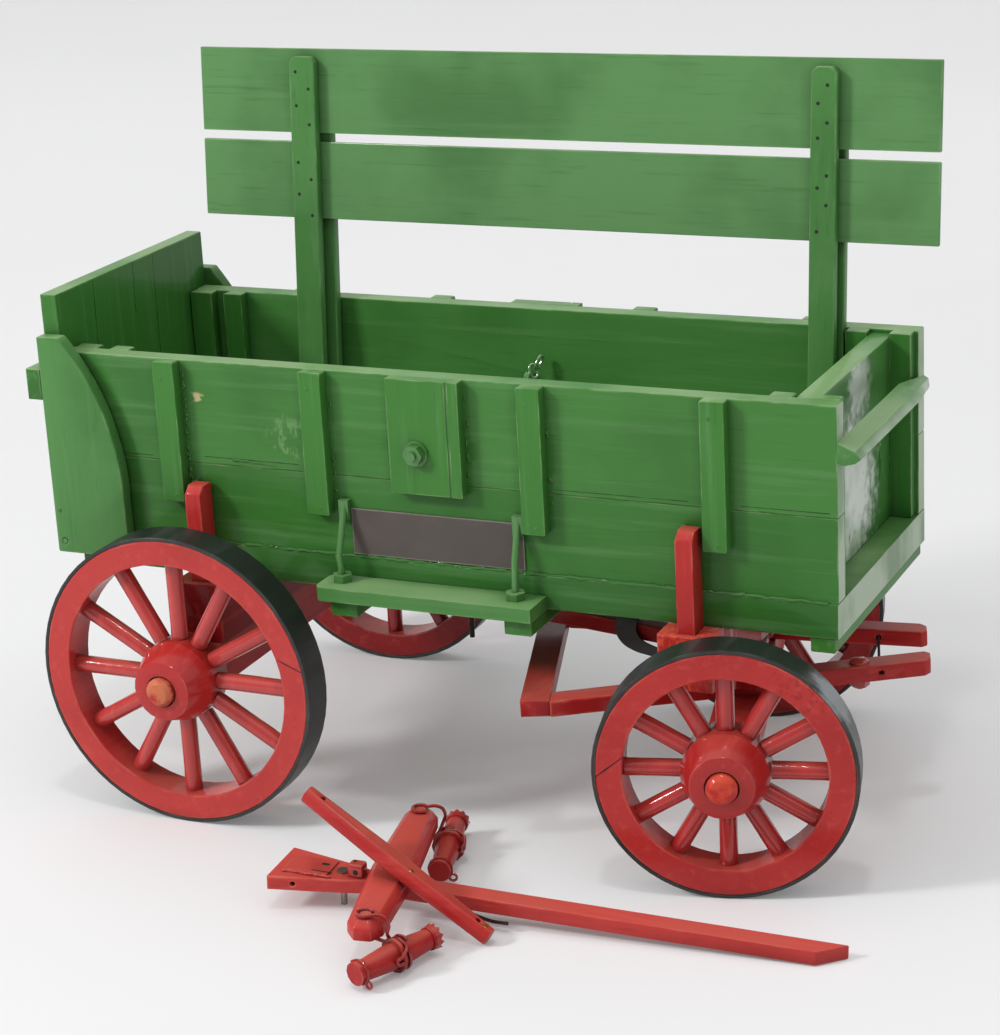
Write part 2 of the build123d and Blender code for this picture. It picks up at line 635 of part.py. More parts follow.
def reach_bar(room=0.0):
    """The reach pole from the king pin back through the rear bolster."""
    slope = (REACH_REAR_Z - REACH_FRONT_Z) / (FRONT_X - REAR_X)
    x0, x1 = REAR_X - REACH_TAIL, FRONT_X + REACH_NOSE
    z0, z1 = (REACH_FRONT_Z + slope * (FRONT_X - x) for x in (x0, x1))
    outline = ((x0, z0 - room), (x1, z1 - room), (x1, z1 + REACH_TALL + room), (x0, z0 + REACH_TALL + room))
    return plate_xz(outline, -REACH_WIDE / 2 - room, REACH_WIDE / 2 + room)


def king_hole(low, high):
    return rod_hole((FRONT_X, 0, low - OVER), (FRONT_X, 0, high + OVER), KING_R)


def make_running_gear():
    parts["rear_axle"] = Pos(REAR_X, 0, 0) * axle(REAR_AXLE_FOOT, REAR_AXLE_TALL, REAR_WHEEL_R, REAR_FAR_OUT)
    bolsters = {}
    # Columns: name, middle, foot
    for name, middle, foot in (("rear", REAR_X, REAR_AXLE_FOOT + REAR_AXLE_TALL),
                               ("front", FRONT_X, SAND_TOP + BOLSTER_ROOM)):
        along = (middle - BOLSTER_LONG / 2, middle + BOLSTER_LONG / 2)
        bolsters[name] = block(along, (-BOLSTER_HALF, BOLSTER_HALF), (foot, FLOOR_UNDER))
    stakes = []
    inside = HALF + FLOOR_PROUD + STAKE_ROOM
    for name, middle in (("rear", REAR_X), ("front", FRONT_X)):
        x0, x1 = middle - STAKE_LONG / 2, middle + STAKE_LONG / 2
        z0, top = FLOOR_UNDER - STAKE_TENON, STAKE_TOP
        near = block((x0, x1), (-inside - STAKE_DEEP, -inside), (z0, top))
        crown = near.edges().group_by(Axis.Z)[-1].sort_by(Axis.Y)[0]
        stakes += both(chamfer(crown, STAKE_CROWN))
        for sign in (-1, 1):
            socket = block((x0, x1), (sign * inside, sign * (inside + STAKE_DEEP)), (z0, FLOOR_UNDER + OVER))
            bolsters[name] -= socket
    parts["rear_bolster"] = bolsters["rear"] - reach_bar(FIT)
    parts["front_bolster"] = bolsters["front"] - king_hole(SAND_TOP, FLOOR_UNDER)
    parts["stakes"] = group(stakes)
    parts["reach"] = reach_bar() - king_hole(REACH_FRONT_Z, REACH_FRONT_Z + REACH_TALL)
    make_rear_irons()
    parts["king_pin"] = rod((FRONT_X, 0, KING_FOOT), (FRONT_X, 0, FLOOR_UNDER - KING_IN), KING_R)


def make_rear_irons():
    """A bent strap behind the rear bolster, and the nuts of two bolts under the rear axle."""
    back = REAR_X - BOLSTER_LONG / 2
    bend = back - STRAP_LEG
    low, high = STRAP_Z - STRAP_TALL / 2, STRAP_Z + STRAP_TALL / 2
    ring = RegularPolygon(STRAP_R, FINE_SIDES) - RegularPolygon(STRAP_R - STRAP_THICK, FINE_SIDES)
    loop = extrude(ring, STRAP_TALL) - block((0, STRAP_R), (-STRAP_R, STRAP_R), (0, STRAP_TALL))
    loop = Pos(bend, STRAP_Y, low) * loop
    for sign in (-1, 1):
        y = STRAP_Y + sign * (STRAP_R - STRAP_THICK)
        loop += block((bend, back), (y, y + sign * STRAP_THICK), (low, high))
    parts["rear_strap"] = loop
    bolts = []
    for y in (-AXLE_BOLT_Y, AXLE_BOLT_Y):
        under = Pos(REAR_X + AXLE_BOLT_X, y, REAR_AXLE_FOOT - AXLE_NUT_TALL)
        tip = rod((0, 0, -AXLE_BOLT_TIP), (0, 0, AXLE_NUT_TALL), AXLE_BOLT_R)
        bolts.append(under * (hexagon(AXLE_NUT_FLATS, AXLE_NUT_TALL) + tip))
    parts["axle_bolts"] = group(bolts)


# Front gear, which turns on the king pin
def front_place():
    return Pos(FRONT_X, 0, 0) * Rot(0, 0, PARKED_STEER)


def hound_place():
    """The hounds' own frame: U forward along them, V to the left, W up from their undersides."""
    return front_place() * Rot(0, 0, HOUND_SKEW) * Pos(0, 0, HOUND_FOOT) * Rot(0, -HOUND_PITCH, 0)


def make_front_gear():
    place = front_place()
    middle = HOUND_THICK / 2
    bore = round_bore((TONGUE_PIN_U, -BOX_WIDTH, middle), (TONGUE_PIN_U, BOX_WIDTH, middle), TONGUE_PIN_R)
    splay = atan2(HOUND_TAIL_V - HOUND_NOSE_V, HOUND_NOSE - SWAY_FRONT)
    half = HOUND_WIDE / 2 / cos(splay)
    outline = ((SWAY_FRONT, -HOUND_TAIL_V - half), (HOUND_NOSE, -HOUND_NOSE_V - half),
               (HOUND_NOSE, -HOUND_NOSE_V + half), (SWAY_FRONT, -HOUND_TAIL_V + half))
    stick = extrude(make_face(Polyline(*outline, close=True)), HOUND_THICK)
    nose = stick.edges().group_by(Axis.X)[-1].filter_by(Axis.Z)
    near_hound = chamfer(nose, HOUND_CORNER) - bore
    hounds = [hound_place() * hound for hound in both(near_hound)]
    parts["hounds"] = group(hounds)
    bar = block((SWAY_FRONT - SWAY_LONG, SWAY_FRONT), (-SWAY_HALF, SWAY_HALF), (0, HOUND_THICK))
    parts["sway_bar"] = hound_place() * bar

    # The hounds are let into the axle below them and the sand board above
    pin_hole = rod_hole((0, 0, KING_FOOT), (0, 0, FLOOR_UNDER), KING_R)
    beam = place * (axle(FRONT_AXLE_FOOT, FRONT_AXLE_TALL, FRONT_WHEEL_R) - pin_hole)
    sand_foot = HOUND_FOOT + HOUND_THICK - SEAT
    sand = block((-AXLE_LONG / 2, AXLE_LONG / 2), (-SAND_HALF, SAND_HALF), (sand_foot, SAND_TOP))
    notch_half = REACH_WIDE / 2 + REACH_SWING
    notch = block((-AXLE_LONG, AXLE_LONG), (-notch_half, notch_half),
                  (sand_foot - OVER, REACH_FRONT_Z + REACH_TALL + REACH_ROOM))
    sand = place * (sand - notch - pin_hole)
    for hound in hounds:
        beam -= hound
        sand -= hound
    parts["front_axle"] = beam
    parts["sand_board"] = sand


# Loose tongue set on the ground: S runs along the tongue from its butt, V to its left, W up from its underside
def tongue_place():
    droop = degrees(asin(TONGUE_RISE / TONGUE_LONG))
    return Pos(TONGUE_X, TONGUE_Y, TONGUE_RISE) * Rot(0, 0, TONGUE_HEADING) * Rot(0, droop, 0)


def make_tongue():
    place = tongue_place()
    neck = BUTT_LONG + NECK_LONG
    outline = ((0, -BUTT_HALF), (BUTT_LONG, -NECK_HALF), (neck, -TONGUE_HALF),
               (TONGUE_LONG - TIP_CUT, -TONGUE_HALF), (TONGUE_LONG, TONGUE_HALF),
               (neck, TONGUE_HALF), (BUTT_LONG, NECK_HALF), (0, BUTT_HALF))
    bar = extrude(make_face(Polyline(*outline, close=True)), TONGUE_THICK)
    for s in (NAIL_S, PIVOT_S):
        bar -= rod_hole((s, 0, -OVER), (s, 0, TONGUE_THICK + OVER), NAIL_R)
    bar -= round_bore((BUTT_BORE_S, -BUTT_HALF, TONGUE_THICK / 2), (BUTT_BORE_S, BUTT_HALF, TONGUE_THICK / 2),
                      TONGUE_PIN_R)
    parts["tongue"] = place * bar

    tree_top = TONGUE_THICK + SEAT + TREE_THICK
    nail_foot = -(TONGUE_RISE - NAIL_S * TONGUE_RISE / TONGUE_LONG) + NAIL_LIFT
    pins = []
    # Columns: place along the tongue, lower end, underside of the head
    for s, low, high in ((NAIL_S, nail_foot, TONGUE_THICK), (PIVOT_S, -PIVOT_BELOW, tree_top + SEAT)):
        head = rod((s, 0, high), (s, 0, high + NAIL_HEAD), NAIL_HEAD_R)
        pins.append(head + rod((s, 0, low), (s, 0, high), NAIL_R))
    parts["tongue_pins"] = group([place * pin for pin in pins])

    tree_place = place * Pos(PIVOT_S, 0, TONGUE_THICK + SEAT) * Rot(0, 0, TREE_YAW)
    clip = TREE_END_HALF / 2
    near_side = ((TREE_END_HALF, -TREE_HALF + TREE_CORNER), (clip, -TREE_HALF), (-clip, -TREE_HALF),
                 (-TREE_END_HALF, -TREE_HALF + TREE_CORNER), (-TREE_MID_HALF, 0))
    outline = near_side + tuple((-s, -v) for s, v in near_side)
    bar = extrude(make_face(Polyline(*outline, close=True)), TREE_THICK)
    bar = chamfer(bar.faces().sort_by(Axis.Z)[-1].edges(), TREE_CHAMFER)
    bar -= rod_hole((0, 0, -OVER), (0, 0, TREE_THICK + OVER), NAIL_R)
    pins = []
    for v in (-TREE_PIN_V, TREE_PIN_V):
        bar -= rod_hole((0, v, -OVER), (0, v, TREE_THICK + OVER), TREE_PIN_R)
        head = rod((0, v, TREE_THICK), (0, v, TREE_THICK + NAIL_HEAD), TREE_PIN_HEAD_R)
        pins.append(head + rod((0, v, -TREE_PIN_BELOW), (0, v, TREE_THICK), TREE_PIN_R))
    parts["doubletree"] = tree_place * bar
    parts["tree_pins"] = group([tree_place * pin for pin in pins])
    make_singletrees(tree_place)


def make_singletrees(tree_place):
    """A tapered stick with end ferrules, and a wire clip on its middle with an arm to the doubletree's pin."""
    clip_r = SINGLE_R + CLIP_ROOM + LINK_WIRE_R
    z = clip_r + LINK_WIRE_R
    eye_r = TREE_PIN_R + FIT + LINK_WIRE_R
    for side, x, y, heading, half, end in SINGLETREES:
        stick = turned(((-half, SINGLE_END_R), (0, SINGLE_R), (half, SINGLE_END_R)), ROD_SIDES)
        for end_z in (-half, half - FERRULE_LONG):
            stick += rod((0, 0, end_z), (0, 0, end_z + FERRULE_LONG), FERRULE_R)
        lie = Pos(x, y, z) * Rot(0, 0, heading - 90)
        eye_place = tree_place * Pos(0, end * TREE_PIN_V, -SEAT - LINK_WIRE_R)
        grip = lie * Pos(-clip_r * cos(radians(CLIP_GRIP)), 0, clip_r * sin(radians(CLIP_GRIP)))
        pin, grip = eye_place.position, grip.position
        start = pin + Vector(grip.X - pin.X, grip.Y - pin.Y, 0).normalized() * eye_r
        arm = rod(tuple(start), tuple(grip), LINK_WIRE_R)
        along = lie * Rot(90, 0, 0)
        wire = along * band(clip_r, LINK_WIRE_R) + eye_place * band(eye_r, LINK_WIRE_R) + arm
        parts[side + "_singletree"] = group([along * stick, wire])


def make_yoke():
    long, half = YOKE_LONG, YOKE_WIDE / 2
    narrow = half - YOKE_TAPER
    outline = ((0, -narrow), (long / 2, -half), (long, -narrow), (long, narrow), (long / 2, half), (0, narrow))
    stick = extrude(make_face(Polyline(*outline, close=True)), YOKE_THICK)
    long_edges = [e for e in stick.edges() if e.length > long / 3]
    stick = chamfer(long_edges, YOKE_CHAMFER)
    for s in (YOKE_HOLE_IN, long - YOKE_HOLE_IN):
        stick -= rod_hole((s, 0, -OVER), (s, 0, YOKE_THICK + OVER), YOKE_HOLE_R)
    lean = Rot(0, 0, YOKE_HEADING) * Rot(0, -YOKE_RISE, 0)
    parts["neck_yoke"] = Pos(YOKE_FOOT_X, YOKE_FOOT_Y, YOKE_LIFT) * lean * stick


def export_parts():
    os.makedirs("parts", exist_ok=True)
    centre = Pos(-SET_CENTRE_X, -SET_CENTRE_Y, 0)
    for name, shape in parts.items():
        export_step(centre * shape, f"parts/{name}.step")


make_floor()
make_sides()
make_cleats()
make_front_end()
make_tail()
make_step()
make_plate()
make_bang_boards()
make_chain()
make_running_gear()
make_front_gear()
make_wheels()
make_tongue()
make_yoke()
export_parts()
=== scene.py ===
import json
import random
from math import cos, pi, radians, sin

import bmesh
import bpy
from bpy.props import FloatProperty, FloatVectorProperty, PointerProperty
from mathutils import Matrix, Vector


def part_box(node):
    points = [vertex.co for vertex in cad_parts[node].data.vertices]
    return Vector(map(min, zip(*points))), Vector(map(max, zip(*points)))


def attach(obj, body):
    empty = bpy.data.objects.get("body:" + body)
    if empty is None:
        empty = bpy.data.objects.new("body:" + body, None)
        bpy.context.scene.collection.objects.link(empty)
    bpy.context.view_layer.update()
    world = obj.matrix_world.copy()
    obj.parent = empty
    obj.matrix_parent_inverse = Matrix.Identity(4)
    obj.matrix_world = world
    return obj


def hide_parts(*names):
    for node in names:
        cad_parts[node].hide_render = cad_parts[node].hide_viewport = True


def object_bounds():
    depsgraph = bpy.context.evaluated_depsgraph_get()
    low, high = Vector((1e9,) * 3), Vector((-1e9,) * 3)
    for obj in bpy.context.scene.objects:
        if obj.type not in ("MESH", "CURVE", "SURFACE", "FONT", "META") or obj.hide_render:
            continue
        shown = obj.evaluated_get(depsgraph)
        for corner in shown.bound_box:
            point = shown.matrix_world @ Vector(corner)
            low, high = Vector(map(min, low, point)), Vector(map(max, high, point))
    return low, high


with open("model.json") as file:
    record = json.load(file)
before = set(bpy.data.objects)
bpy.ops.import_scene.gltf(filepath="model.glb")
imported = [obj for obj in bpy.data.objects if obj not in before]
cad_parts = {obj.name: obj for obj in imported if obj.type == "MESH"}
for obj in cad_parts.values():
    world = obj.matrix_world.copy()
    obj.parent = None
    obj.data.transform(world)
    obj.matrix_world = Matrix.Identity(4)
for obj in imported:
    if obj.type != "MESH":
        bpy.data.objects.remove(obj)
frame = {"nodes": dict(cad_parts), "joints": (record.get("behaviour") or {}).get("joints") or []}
CAD_LOW, CAD_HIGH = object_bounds()

bl_info = {
    "name": "Box wagon dressing",
    "version": (1, 0, 0),
    "blender": (4, 5, 0),
    "location": "3D View > Sidebar > Wagon",
    "description": "Paints a wooden model box wagon and adds its nails, chain, wires and irons",
    "category": "Object",
}

# Places are given in millimetres in the wagon's own frame: X forward from the back of the tailboard,
# Y to the wagon's left from its middle, Z up from the ground.
MM = 0.001
TAIL_ROOM = 10.5      # back edge of the floor board from the back of the tailboard
FLOOR_LOW, FLOOR_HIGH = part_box("floor_board")
WAGON = Vector((FLOOR_LOW.x - TAIL_ROOM * MM, (FLOOR_LOW.y + FLOOR_HIGH.y) / 2, 0))
JOINTS = {joint["name"]: joint for joint in frame["joints"]}

# Sizes of the box that the dressing follows
BOX_HALF = 77.5
BOX_TOP = 248.0
FLOOR_TOP = 146.0
CLEAT_FACE = 84.5     # outer faces of the cleats from the middle
CLEAT_MIDDLES = (77.0, 165.5, 290.0, 388.3)
WING_FACE = 87.0      # outer faces of the tail wings from the middle
BLOCK_FOOT = 186.0    # lower ends of the bolted blocks


def srgb(red, green, blue):
    """A colour as a paint card gives it, 0 to 255, in the linear values that shaders take."""
    def linear(value):
        part = value / 255
        return part / 12.92 if part <= 0.04045 else ((part + 0.055) / 1.055) ** 2.4
    return (linear(red), linear(green), linear(blue))


def blend(first, second, share):
    return tuple(a + (b - a) * share for a, b in zip(first, second))


def at(x, y, z):
    """A place in the wagon's frame, in metres."""
    return WAGON + Vector((x, y, z)) * MM


def turned_frame(place, *turns):
    """A frame at a place in metres, turned about its own axes in order by (axis, degrees)."""
    here = Matrix.Translation(place)
    for axis, angle in turns:
        here = here @ Matrix.Rotation(radians(angle), 4, axis)
    return here


def spot(here, x, y, z):
    """A place in a frame, given in millimetres."""
    return here @ (Vector((x, y, z)) * MM)


def joint_place(name):
    return Vector(JOINTS[name]["pos_m"])


# Frames of the pieces that stand turned: X runs along each of them, but a singletree lies along its Y
STEERED = 13.7        # degrees that the front gear stands turned to the left
GEAR = turned_frame(joint_place("steering") * Vector((1, 1, 0)), ("Z", STEERED))
HOUNDS = turned_frame(GEAR.translation + Vector((0, 0, 77.5 * MM)), ("Z", STEERED + 4.5), ("Y", -1.0))
TONGUE = turned_frame(at(187.0, -191.5, 12.3), ("Z", 4.0), ("Y", 2.39))
YOKE = turned_frame(at(308.0, -206.0, 0.1), ("Z", 176.0), ("Y", -31.0))
DOUBLETREE = turned_frame(joint_place("doubletree_pivot"), ("Z", 4.0), ("Y", 2.39), ("Z", 8.6))
TREE_TOP = 10.0       # the doubletree's top above its pivot's place
# Columns: side, its frame, half its length, which end of the doubletree it hangs on
SINGLETREES = (("near", turned_frame(at(278.5, -246.0, 8.9), ("Z", -22.0)), 25.5, -1),
               ("far", turned_frame(at(252.0, -128.0, 8.9), ("Z", 16.0)), 30.0, 1))
BANG_STAND = turned_frame(at(0, 66.3, BOX_TOP), ("X", -4.9))


# Settings
def tone(name, description, colour):
    return FloatVectorProperty(name=name, description=description, size=3, subtype="COLOR", min=0, max=1,
                               default=colour)


class WagonPaint(bpy.types.PropertyGroup):
    """Colours of the paint, the irons and the worn places."""
    green: tone("Green", "Main tone of the box", srgb(65, 126, 52))
    green_dark: tone("Dark green", "Thick or shaded patches of the box paint", srgb(38, 88, 32))
    green_pale: tone("Pale green", "Thin or dusty patches of the box paint", srgb(103, 150, 95))
    # The worn tones paint both the rubbed edges and the sheen painted on upward faces.
    green_worn_and_sheen: tone("Worn green", "Edges where the green has rubbed thin", srgb(166, 194, 142))
    red: tone("Red", "Main tone of the running gear", srgb(184, 40, 38))
    red_dark: tone("Dark red", "Thick patches of the red paint", srgb(134, 18, 20))
    red_pale: tone("Pale red", "Dusty patches of the red paint", srgb(208, 82, 76))
    red_worn_and_sheen: tone("Worn red", "Edges where the red has rubbed thin", srgb(226, 138, 118))
    tyre: tone("Tyre", "Tyre bands", srgb(34, 36, 36))
    plate: tone("Plate", "Blank sign plate", srgb(80, 72, 68))
    steel: tone("Steel", "Bare nails and wire", srgb(150, 146, 138))
    wood: tone("Bare wood", "Rear axle's ends", srgb(206, 122, 84))
    wood_red: tone("Stained wood", "Front axle's ends", srgb(214, 78, 52))

    def greens(self):
        return [tuple(value) for value in (self.green, self.green_dark, self.green_pale, self.green_worn_and_sheen)]

    def reds(self):
        return [tuple(value) for value in (self.red, self.red_dark, self.red_pale, self.red_worn_and_sheen)]


class WagonStage(bpy.types.PropertyGroup):
    """The floor, the light and the camera."""
    floor: tone("Floor", "Floor and backdrop", srgb(218, 218, 219))
    sky: FloatProperty(name="Sky", description="Strength of the light from all round", default=0.40, min=0)
    ceiling: FloatProperty(name="Ceiling", description="Strength of the light from overhead", default=0.96,
                           min=0)
    lift: FloatProperty(name="Floor lift", description="Glow that the camera sees on the floor", default=0.14,
                        min=0)
    back_lift: FloatProperty(name="Backdrop lift", description="Glow added towards the backdrop",
                             default=0.10, min=0)
    key: FloatProperty(name="Key", description="Power of the lamp over the near side", default=72.0, min=0,
                       unit="POWER")
    front: FloatProperty(name="Front", description="Power of the lamp ahead of the wagon", default=2.2, min=0,
                         unit="POWER")
    overhead: FloatProperty(name="Overhead", description="Power of the small lamp overhead", default=8.0,
                            min=0, unit="POWER")
    lens: FloatProperty(name="Lens", description="Focal length", default=97.03, min=1, unit="CAMERA")


# Node materials
class Finish:
    """A surface built from nodes on a Principled shader, with patterns in Object coordinates."""

    def __init__(self, name, roughness=0.45, metallic=0.0, coat=0.0):
        self.material = bpy.data.materials.new(name)
        self.material.use_nodes = True
        self.tree = self.material.node_tree
        self.shader = self.tree.nodes["Principled BSDF"]
        self.shader.inputs["Roughness"].default_value = roughness
        self.shader.inputs["Metallic"].default_value = metallic
        self.shader.inputs["Coat Weight"].default_value = coat
        self.place = self.tree.nodes.new("ShaderNodeTexCoord").outputs["Object"]

    def put(self, socket, value):
        """Links a socket or sets a plain value."""
        if isinstance(value, bpy.types.NodeSocket):
            self.tree.links.new(value, socket)
        elif value is not None:
            socket.default_value = (*value, 1.0) if socket.type == "RGBA" and len(value) == 3 else value

    def vector(self, operation, first, second, output="Vector"):
        node = self.tree.nodes.new("ShaderNodeVectorMath")
        node.operation = operation
        self.put(node.inputs[0], first)
        self.put(node.inputs[1], second)
        return node.outputs[output]

    def math(self, operation, first, second=None):
        node = self.tree.nodes.new("ShaderNodeMath")
        node.operation = operation
        self.put(node.inputs[0], first)
        self.put(node.inputs[1], second)
        return node.outputs[0]

    def both(self, first, second):
        return self.math("MULTIPLY", first, second)

    def mix(self, factor, first, second):
        node = self.tree.nodes.new("ShaderNodeMix")
        node.data_type = "RGBA"
        self.put(node.inputs[0], factor)
        self.put(node.inputs[6], first)
        self.put(node.inputs[7], second)
        return node.outputs[2]

    def span(self, value, low, high, top=1.0):
        """Zero below low, top above high, smooth between."""
        node = self.tree.nodes.new("ShaderNodeMapRange")
        node.interpolation_type = "SMOOTHSTEP"
        self.put(node.inputs["Value"], value)
        node.inputs["From Min"].default_value = low
        node.inputs["From Max"].default_value = high
        node.inputs["To Max"].default_value = top
        return node.outputs["Result"]

    def noise(self, scale, stretch=(1, 1, 1), detail=3.0, shift=(0, 0, 0)):
        """Cloudy noise from 0 to 1; a small stretch along an axis draws it out that way."""
        mapping = self.tree.nodes.new("ShaderNodeMapping")
        self.put(mapping.inputs["Vector"], self.place)
        mapping.inputs["Scale"].default_value = stretch
        mapping.inputs["Location"].default_value = shift
        noise = self.tree.nodes.new("ShaderNodeTexNoise")
        self.put(noise.inputs["Vector"], mapping.outputs[0])
        noise.inputs["Scale"].default_value = scale
        noise.inputs["Detail"].default_value = detail
        return noise.outputs["Fac"]

    def along(self, direction, start=(0, 0, 0)):
        """Distance from a place along a direction, in metres."""
        return self.vector("DOT_PRODUCT", self.vector("SUBTRACT", self.place, start), direction, "Value")

    def from_axis(self, start, direction):
        """Distances along an axis and away from it, in metres."""
        away = self.vector("SUBTRACT", self.place, start)
        reach = self.vector("DOT_PRODUCT", away, direction, "Value")
        node = self.tree.nodes.new("ShaderNodeVectorMath")
        node.operation = "SCALE"
        node.inputs[0].default_value = direction
        self.put(node.inputs["Scale"], reach)
        return reach, self.vector("DISTANCE", away, node.outputs["Vector"], "Value")

    def line(self, start, end, width):
        """One on a slightly wavering line between two places, zero off it; its width is in millimetres."""
        run = end - start
        reach, off = self.from_axis(start, run.normalized())
        waver = self.both(self.noise(90.0), 1.6 * width * MM)
        away = self.span(self.math("ADD", off, waver), width * MM, 1.7 * width * MM)
        near = self.math("SUBTRACT", 1.0, away)
        middle = self.math("ABSOLUTE", self.math("SUBTRACT", reach, run.length / 2))
        return self.both(near, self.math("LESS_THAN", middle, run.length / 2))

    def spot(self, place, radius):
        """One about a place, fading to zero at a radius in millimetres, with a ragged edge."""
        off = self.vector("DISTANCE", self.place, place, "Value")
        ragged = self.math("ADD", off, self.both(self.noise(150.0, detail=4.0), radius * MM))
        return self.math("SUBTRACT", 1.0, self.span(ragged, radius * 0.8 * MM, radius * 1.3 * MM))

    def facing(self, direction):
        """How far the surface itself faces a direction, from -1 to 1."""
        geometry = self.tree.nodes.new("ShaderNodeNewGeometry")
        return self.vector("DOT_PRODUCT", geometry.outputs["Normal"], direction, "Value")

    def edges(self, radius, low=0.02, high=0.12):
        """One along the piece's sharp edges, zero on its faces."""
        rounded = self.tree.nodes.new("ShaderNodeBevel")
        rounded.samples = 2
        rounded.inputs["Radius"].default_value = radius * MM
        geometry = self.tree.nodes.new("ShaderNodeNewGeometry")
        alike = self.vector("DOT_PRODUCT", rounded.outputs[0], geometry.outputs["Normal"], "Value")
        return self.span(self.math("SUBTRACT", 1.0, alike), low, high)

    def corners(self, distance):
        """One deep in corners where pieces meet, zero in the open."""
        shade = self.tree.nodes.new("ShaderNodeAmbientOcclusion")
        shade.samples = 2
        shade.inputs["Distance"].default_value = distance * MM
        return self.span(self.math("SUBTRACT", 1.0, shade.outputs["AO"]), 0.15, 0.75)

    def bump(self, height, strength, depth):
        node = self.tree.nodes.new("ShaderNodeBump")
        node.inputs["Strength"].default_value = strength
        node.inputs["Distance"].default_value = depth * MM
        self.put(node.inputs["Height"], height)
        self.put(self.shader.inputs["Normal"], node.outputs["Normal"])
        self.put(self.shader.inputs["Coat Normal"], node.outputs["Normal"])

    def colour(self, value):
        self.put(self.shader.inputs["Base Color"], value)

    def rough(self, value):
        self.put(self.shader.inputs["Roughness"], value)


# Brush streaks run along one axis of a board
GRAIN = {"x": (0.05, 1, 1), "y": (1, 0.05, 1), "z": (1, 1, 0.05)}
UP = (0, 0, 1)
AHEAD = (1, 0, 0)


def toned(tones, shade):
    """Paint tones with the main one drawn to the dark (-1) or to the pale (1)."""
    main, dark, pale, worn_and_sheen = tones
    return (blend(main, pale if shade > 0 else dark, abs(shade)), dark, pale, worn_and_sheen)


def brushed(name, tones, grain, shift, extra=None, coat=0.25, dust_and_sheen=0.5, wear=0.75):
    """Hand-brushed gloss paint: patches, grain streaks, rubbed edges, tops with dust and painted sheen,
    painted shade in corners.
    """
    main, dark, pale, worn_and_sheen = tones
    finish = Finish(name, coat=coat)
    finish.shader.inputs["Specular IOR Level"].default_value = 0.12
    finish.shader.inputs["Coat Roughness"].default_value = 0.06 if coat == 1.0 else 0.12
    patches = finish.noise(11.0, detail=4.0, shift=shift)
    streaks = finish.noise(190.0, GRAIN[grain], 5.0, shift)
    fine = finish.noise(520.0, GRAIN[grain], 3.0, shift)
    lumps = finish.noise(240.0, detail=2.0, shift=shift)
    colour = finish.mix(finish.span(patches, 0.42, 0.72, 0.45), main, dark)
    colour = finish.mix(finish.span(streaks, 0.50, 0.78, 0.38), colour, pale)
    colour = finish.mix(finish.span(fine, 0.56, 0.78, 0.28), colour, dark)
    # Upward faces drawn to the worn tone: partly dust, partly painted sheen.
    top = finish.both(finish.span(finish.facing(UP), 0.6, 0.95, dust_and_sheen), finish.span(patches, 0.25, 0.6))
    colour = finish.mix(top, colour, worn_and_sheen)
    if wear:
        chips = finish.span(finish.noise(60.0, detail=4.0, shift=shift), 0.40, 0.68, wear)
        colour = finish.mix(finish.both(finish.edges(1.3), chips), colour, worn_and_sheen)
    # Corners where pieces meet are darkened by occlusion: painted shade.
    colour = finish.mix(finish.both(finish.corners(9.0), 0.5), colour, tuple(part * 0.3 for part in dark))
    if extra:
        colour = extra(finish, colour)
    finish.colour(colour)
    finish.rough(finish.math("ADD", 0.30, finish.both(streaks, 0.30)))
    height = finish.math("ADD", finish.both(streaks, 0.7), finish.both(lumps, 0.5))
    finish.bump(height, 0.45, 0.35)
    return finish.material


def tyre_band(name, paint, extra=None):
    """Black band with grey scuffs and a dull shine."""
    finish = Finish(name)
    scuffs = finish.noise(90.0, (1, 0.15, 1), 5.0)
    colour = finish.mix(finish.span(scuffs, 0.5, 0.75, 0.5), tuple(paint.tyre), srgb(70, 72, 72))
    rubbed = finish.both(finish.edges(0.8), finish.span(finish.noise(70.0), 0.45, 0.7, 0.6))
    colour = finish.mix(rubbed, colour, srgb(140, 128, 112))
    finish.colour(extra(finish, colour) if extra else colour)
    finish.rough(finish.math("ADD", 0.24, finish.both(scuffs, 0.3)))
    finish.bump(finish.noise(320.0, detail=4.0), 0.25, 0.3)
    return finish.material


def bare_metal(name, colour, rust, roughness=0.38):
    """Bare steel with brown specks."""
    finish = Finish(name, roughness, metallic=0.9)
    specks = finish.span(finish.noise(420.0, detail=5.0), 0.48, 0.7, 0.8)
    finish.colour(finish.mix(specks, colour, rust))
    finish.rough(finish.math("ADD", roughness, finish.both(specks, 0.3)))
    finish.bump(finish.noise(700.0), 0.2, 0.15)
    return finish.material


def painted_hole_shade(name):
    """Painted shade for the dull dark inside of nail holes and slots."""
    finish = Finish(name, 0.8)
    finish.colour(finish.mix(finish.noise(900.0), srgb(16, 22, 14), srgb(38, 40, 30)))
    return finish.material


def blank_plate(name, paint):
    """A bare brown-grey plate with rubbed pale edges and faint scratches."""
    finish = Finish(name, 0.42)
    cloud = finish.noise(26.0, detail=5.0)
    scratch = finish.noise(150.0, (0.04, 1, 1), 4.0)
    colour = finish.mix(finish.span(cloud, 0.4, 0.7, 0.6), tuple(paint.plate), srgb(98, 88, 84))
    colour = finish.mix(finish.span(scratch, 0.62, 0.8, 0.4), colour, srgb(132, 122, 114))
    colour = finish.mix(finish.both(finish.edges(1.1, 0.01, 0.06), 0.8), colour, srgb(190, 178, 166))
    finish.colour(colour)
    finish.rough(finish.math("ADD", 0.3, finish.both(cloud, 0.3)))
    finish.bump(cloud, 0.12, 0.3)
    return finish.material


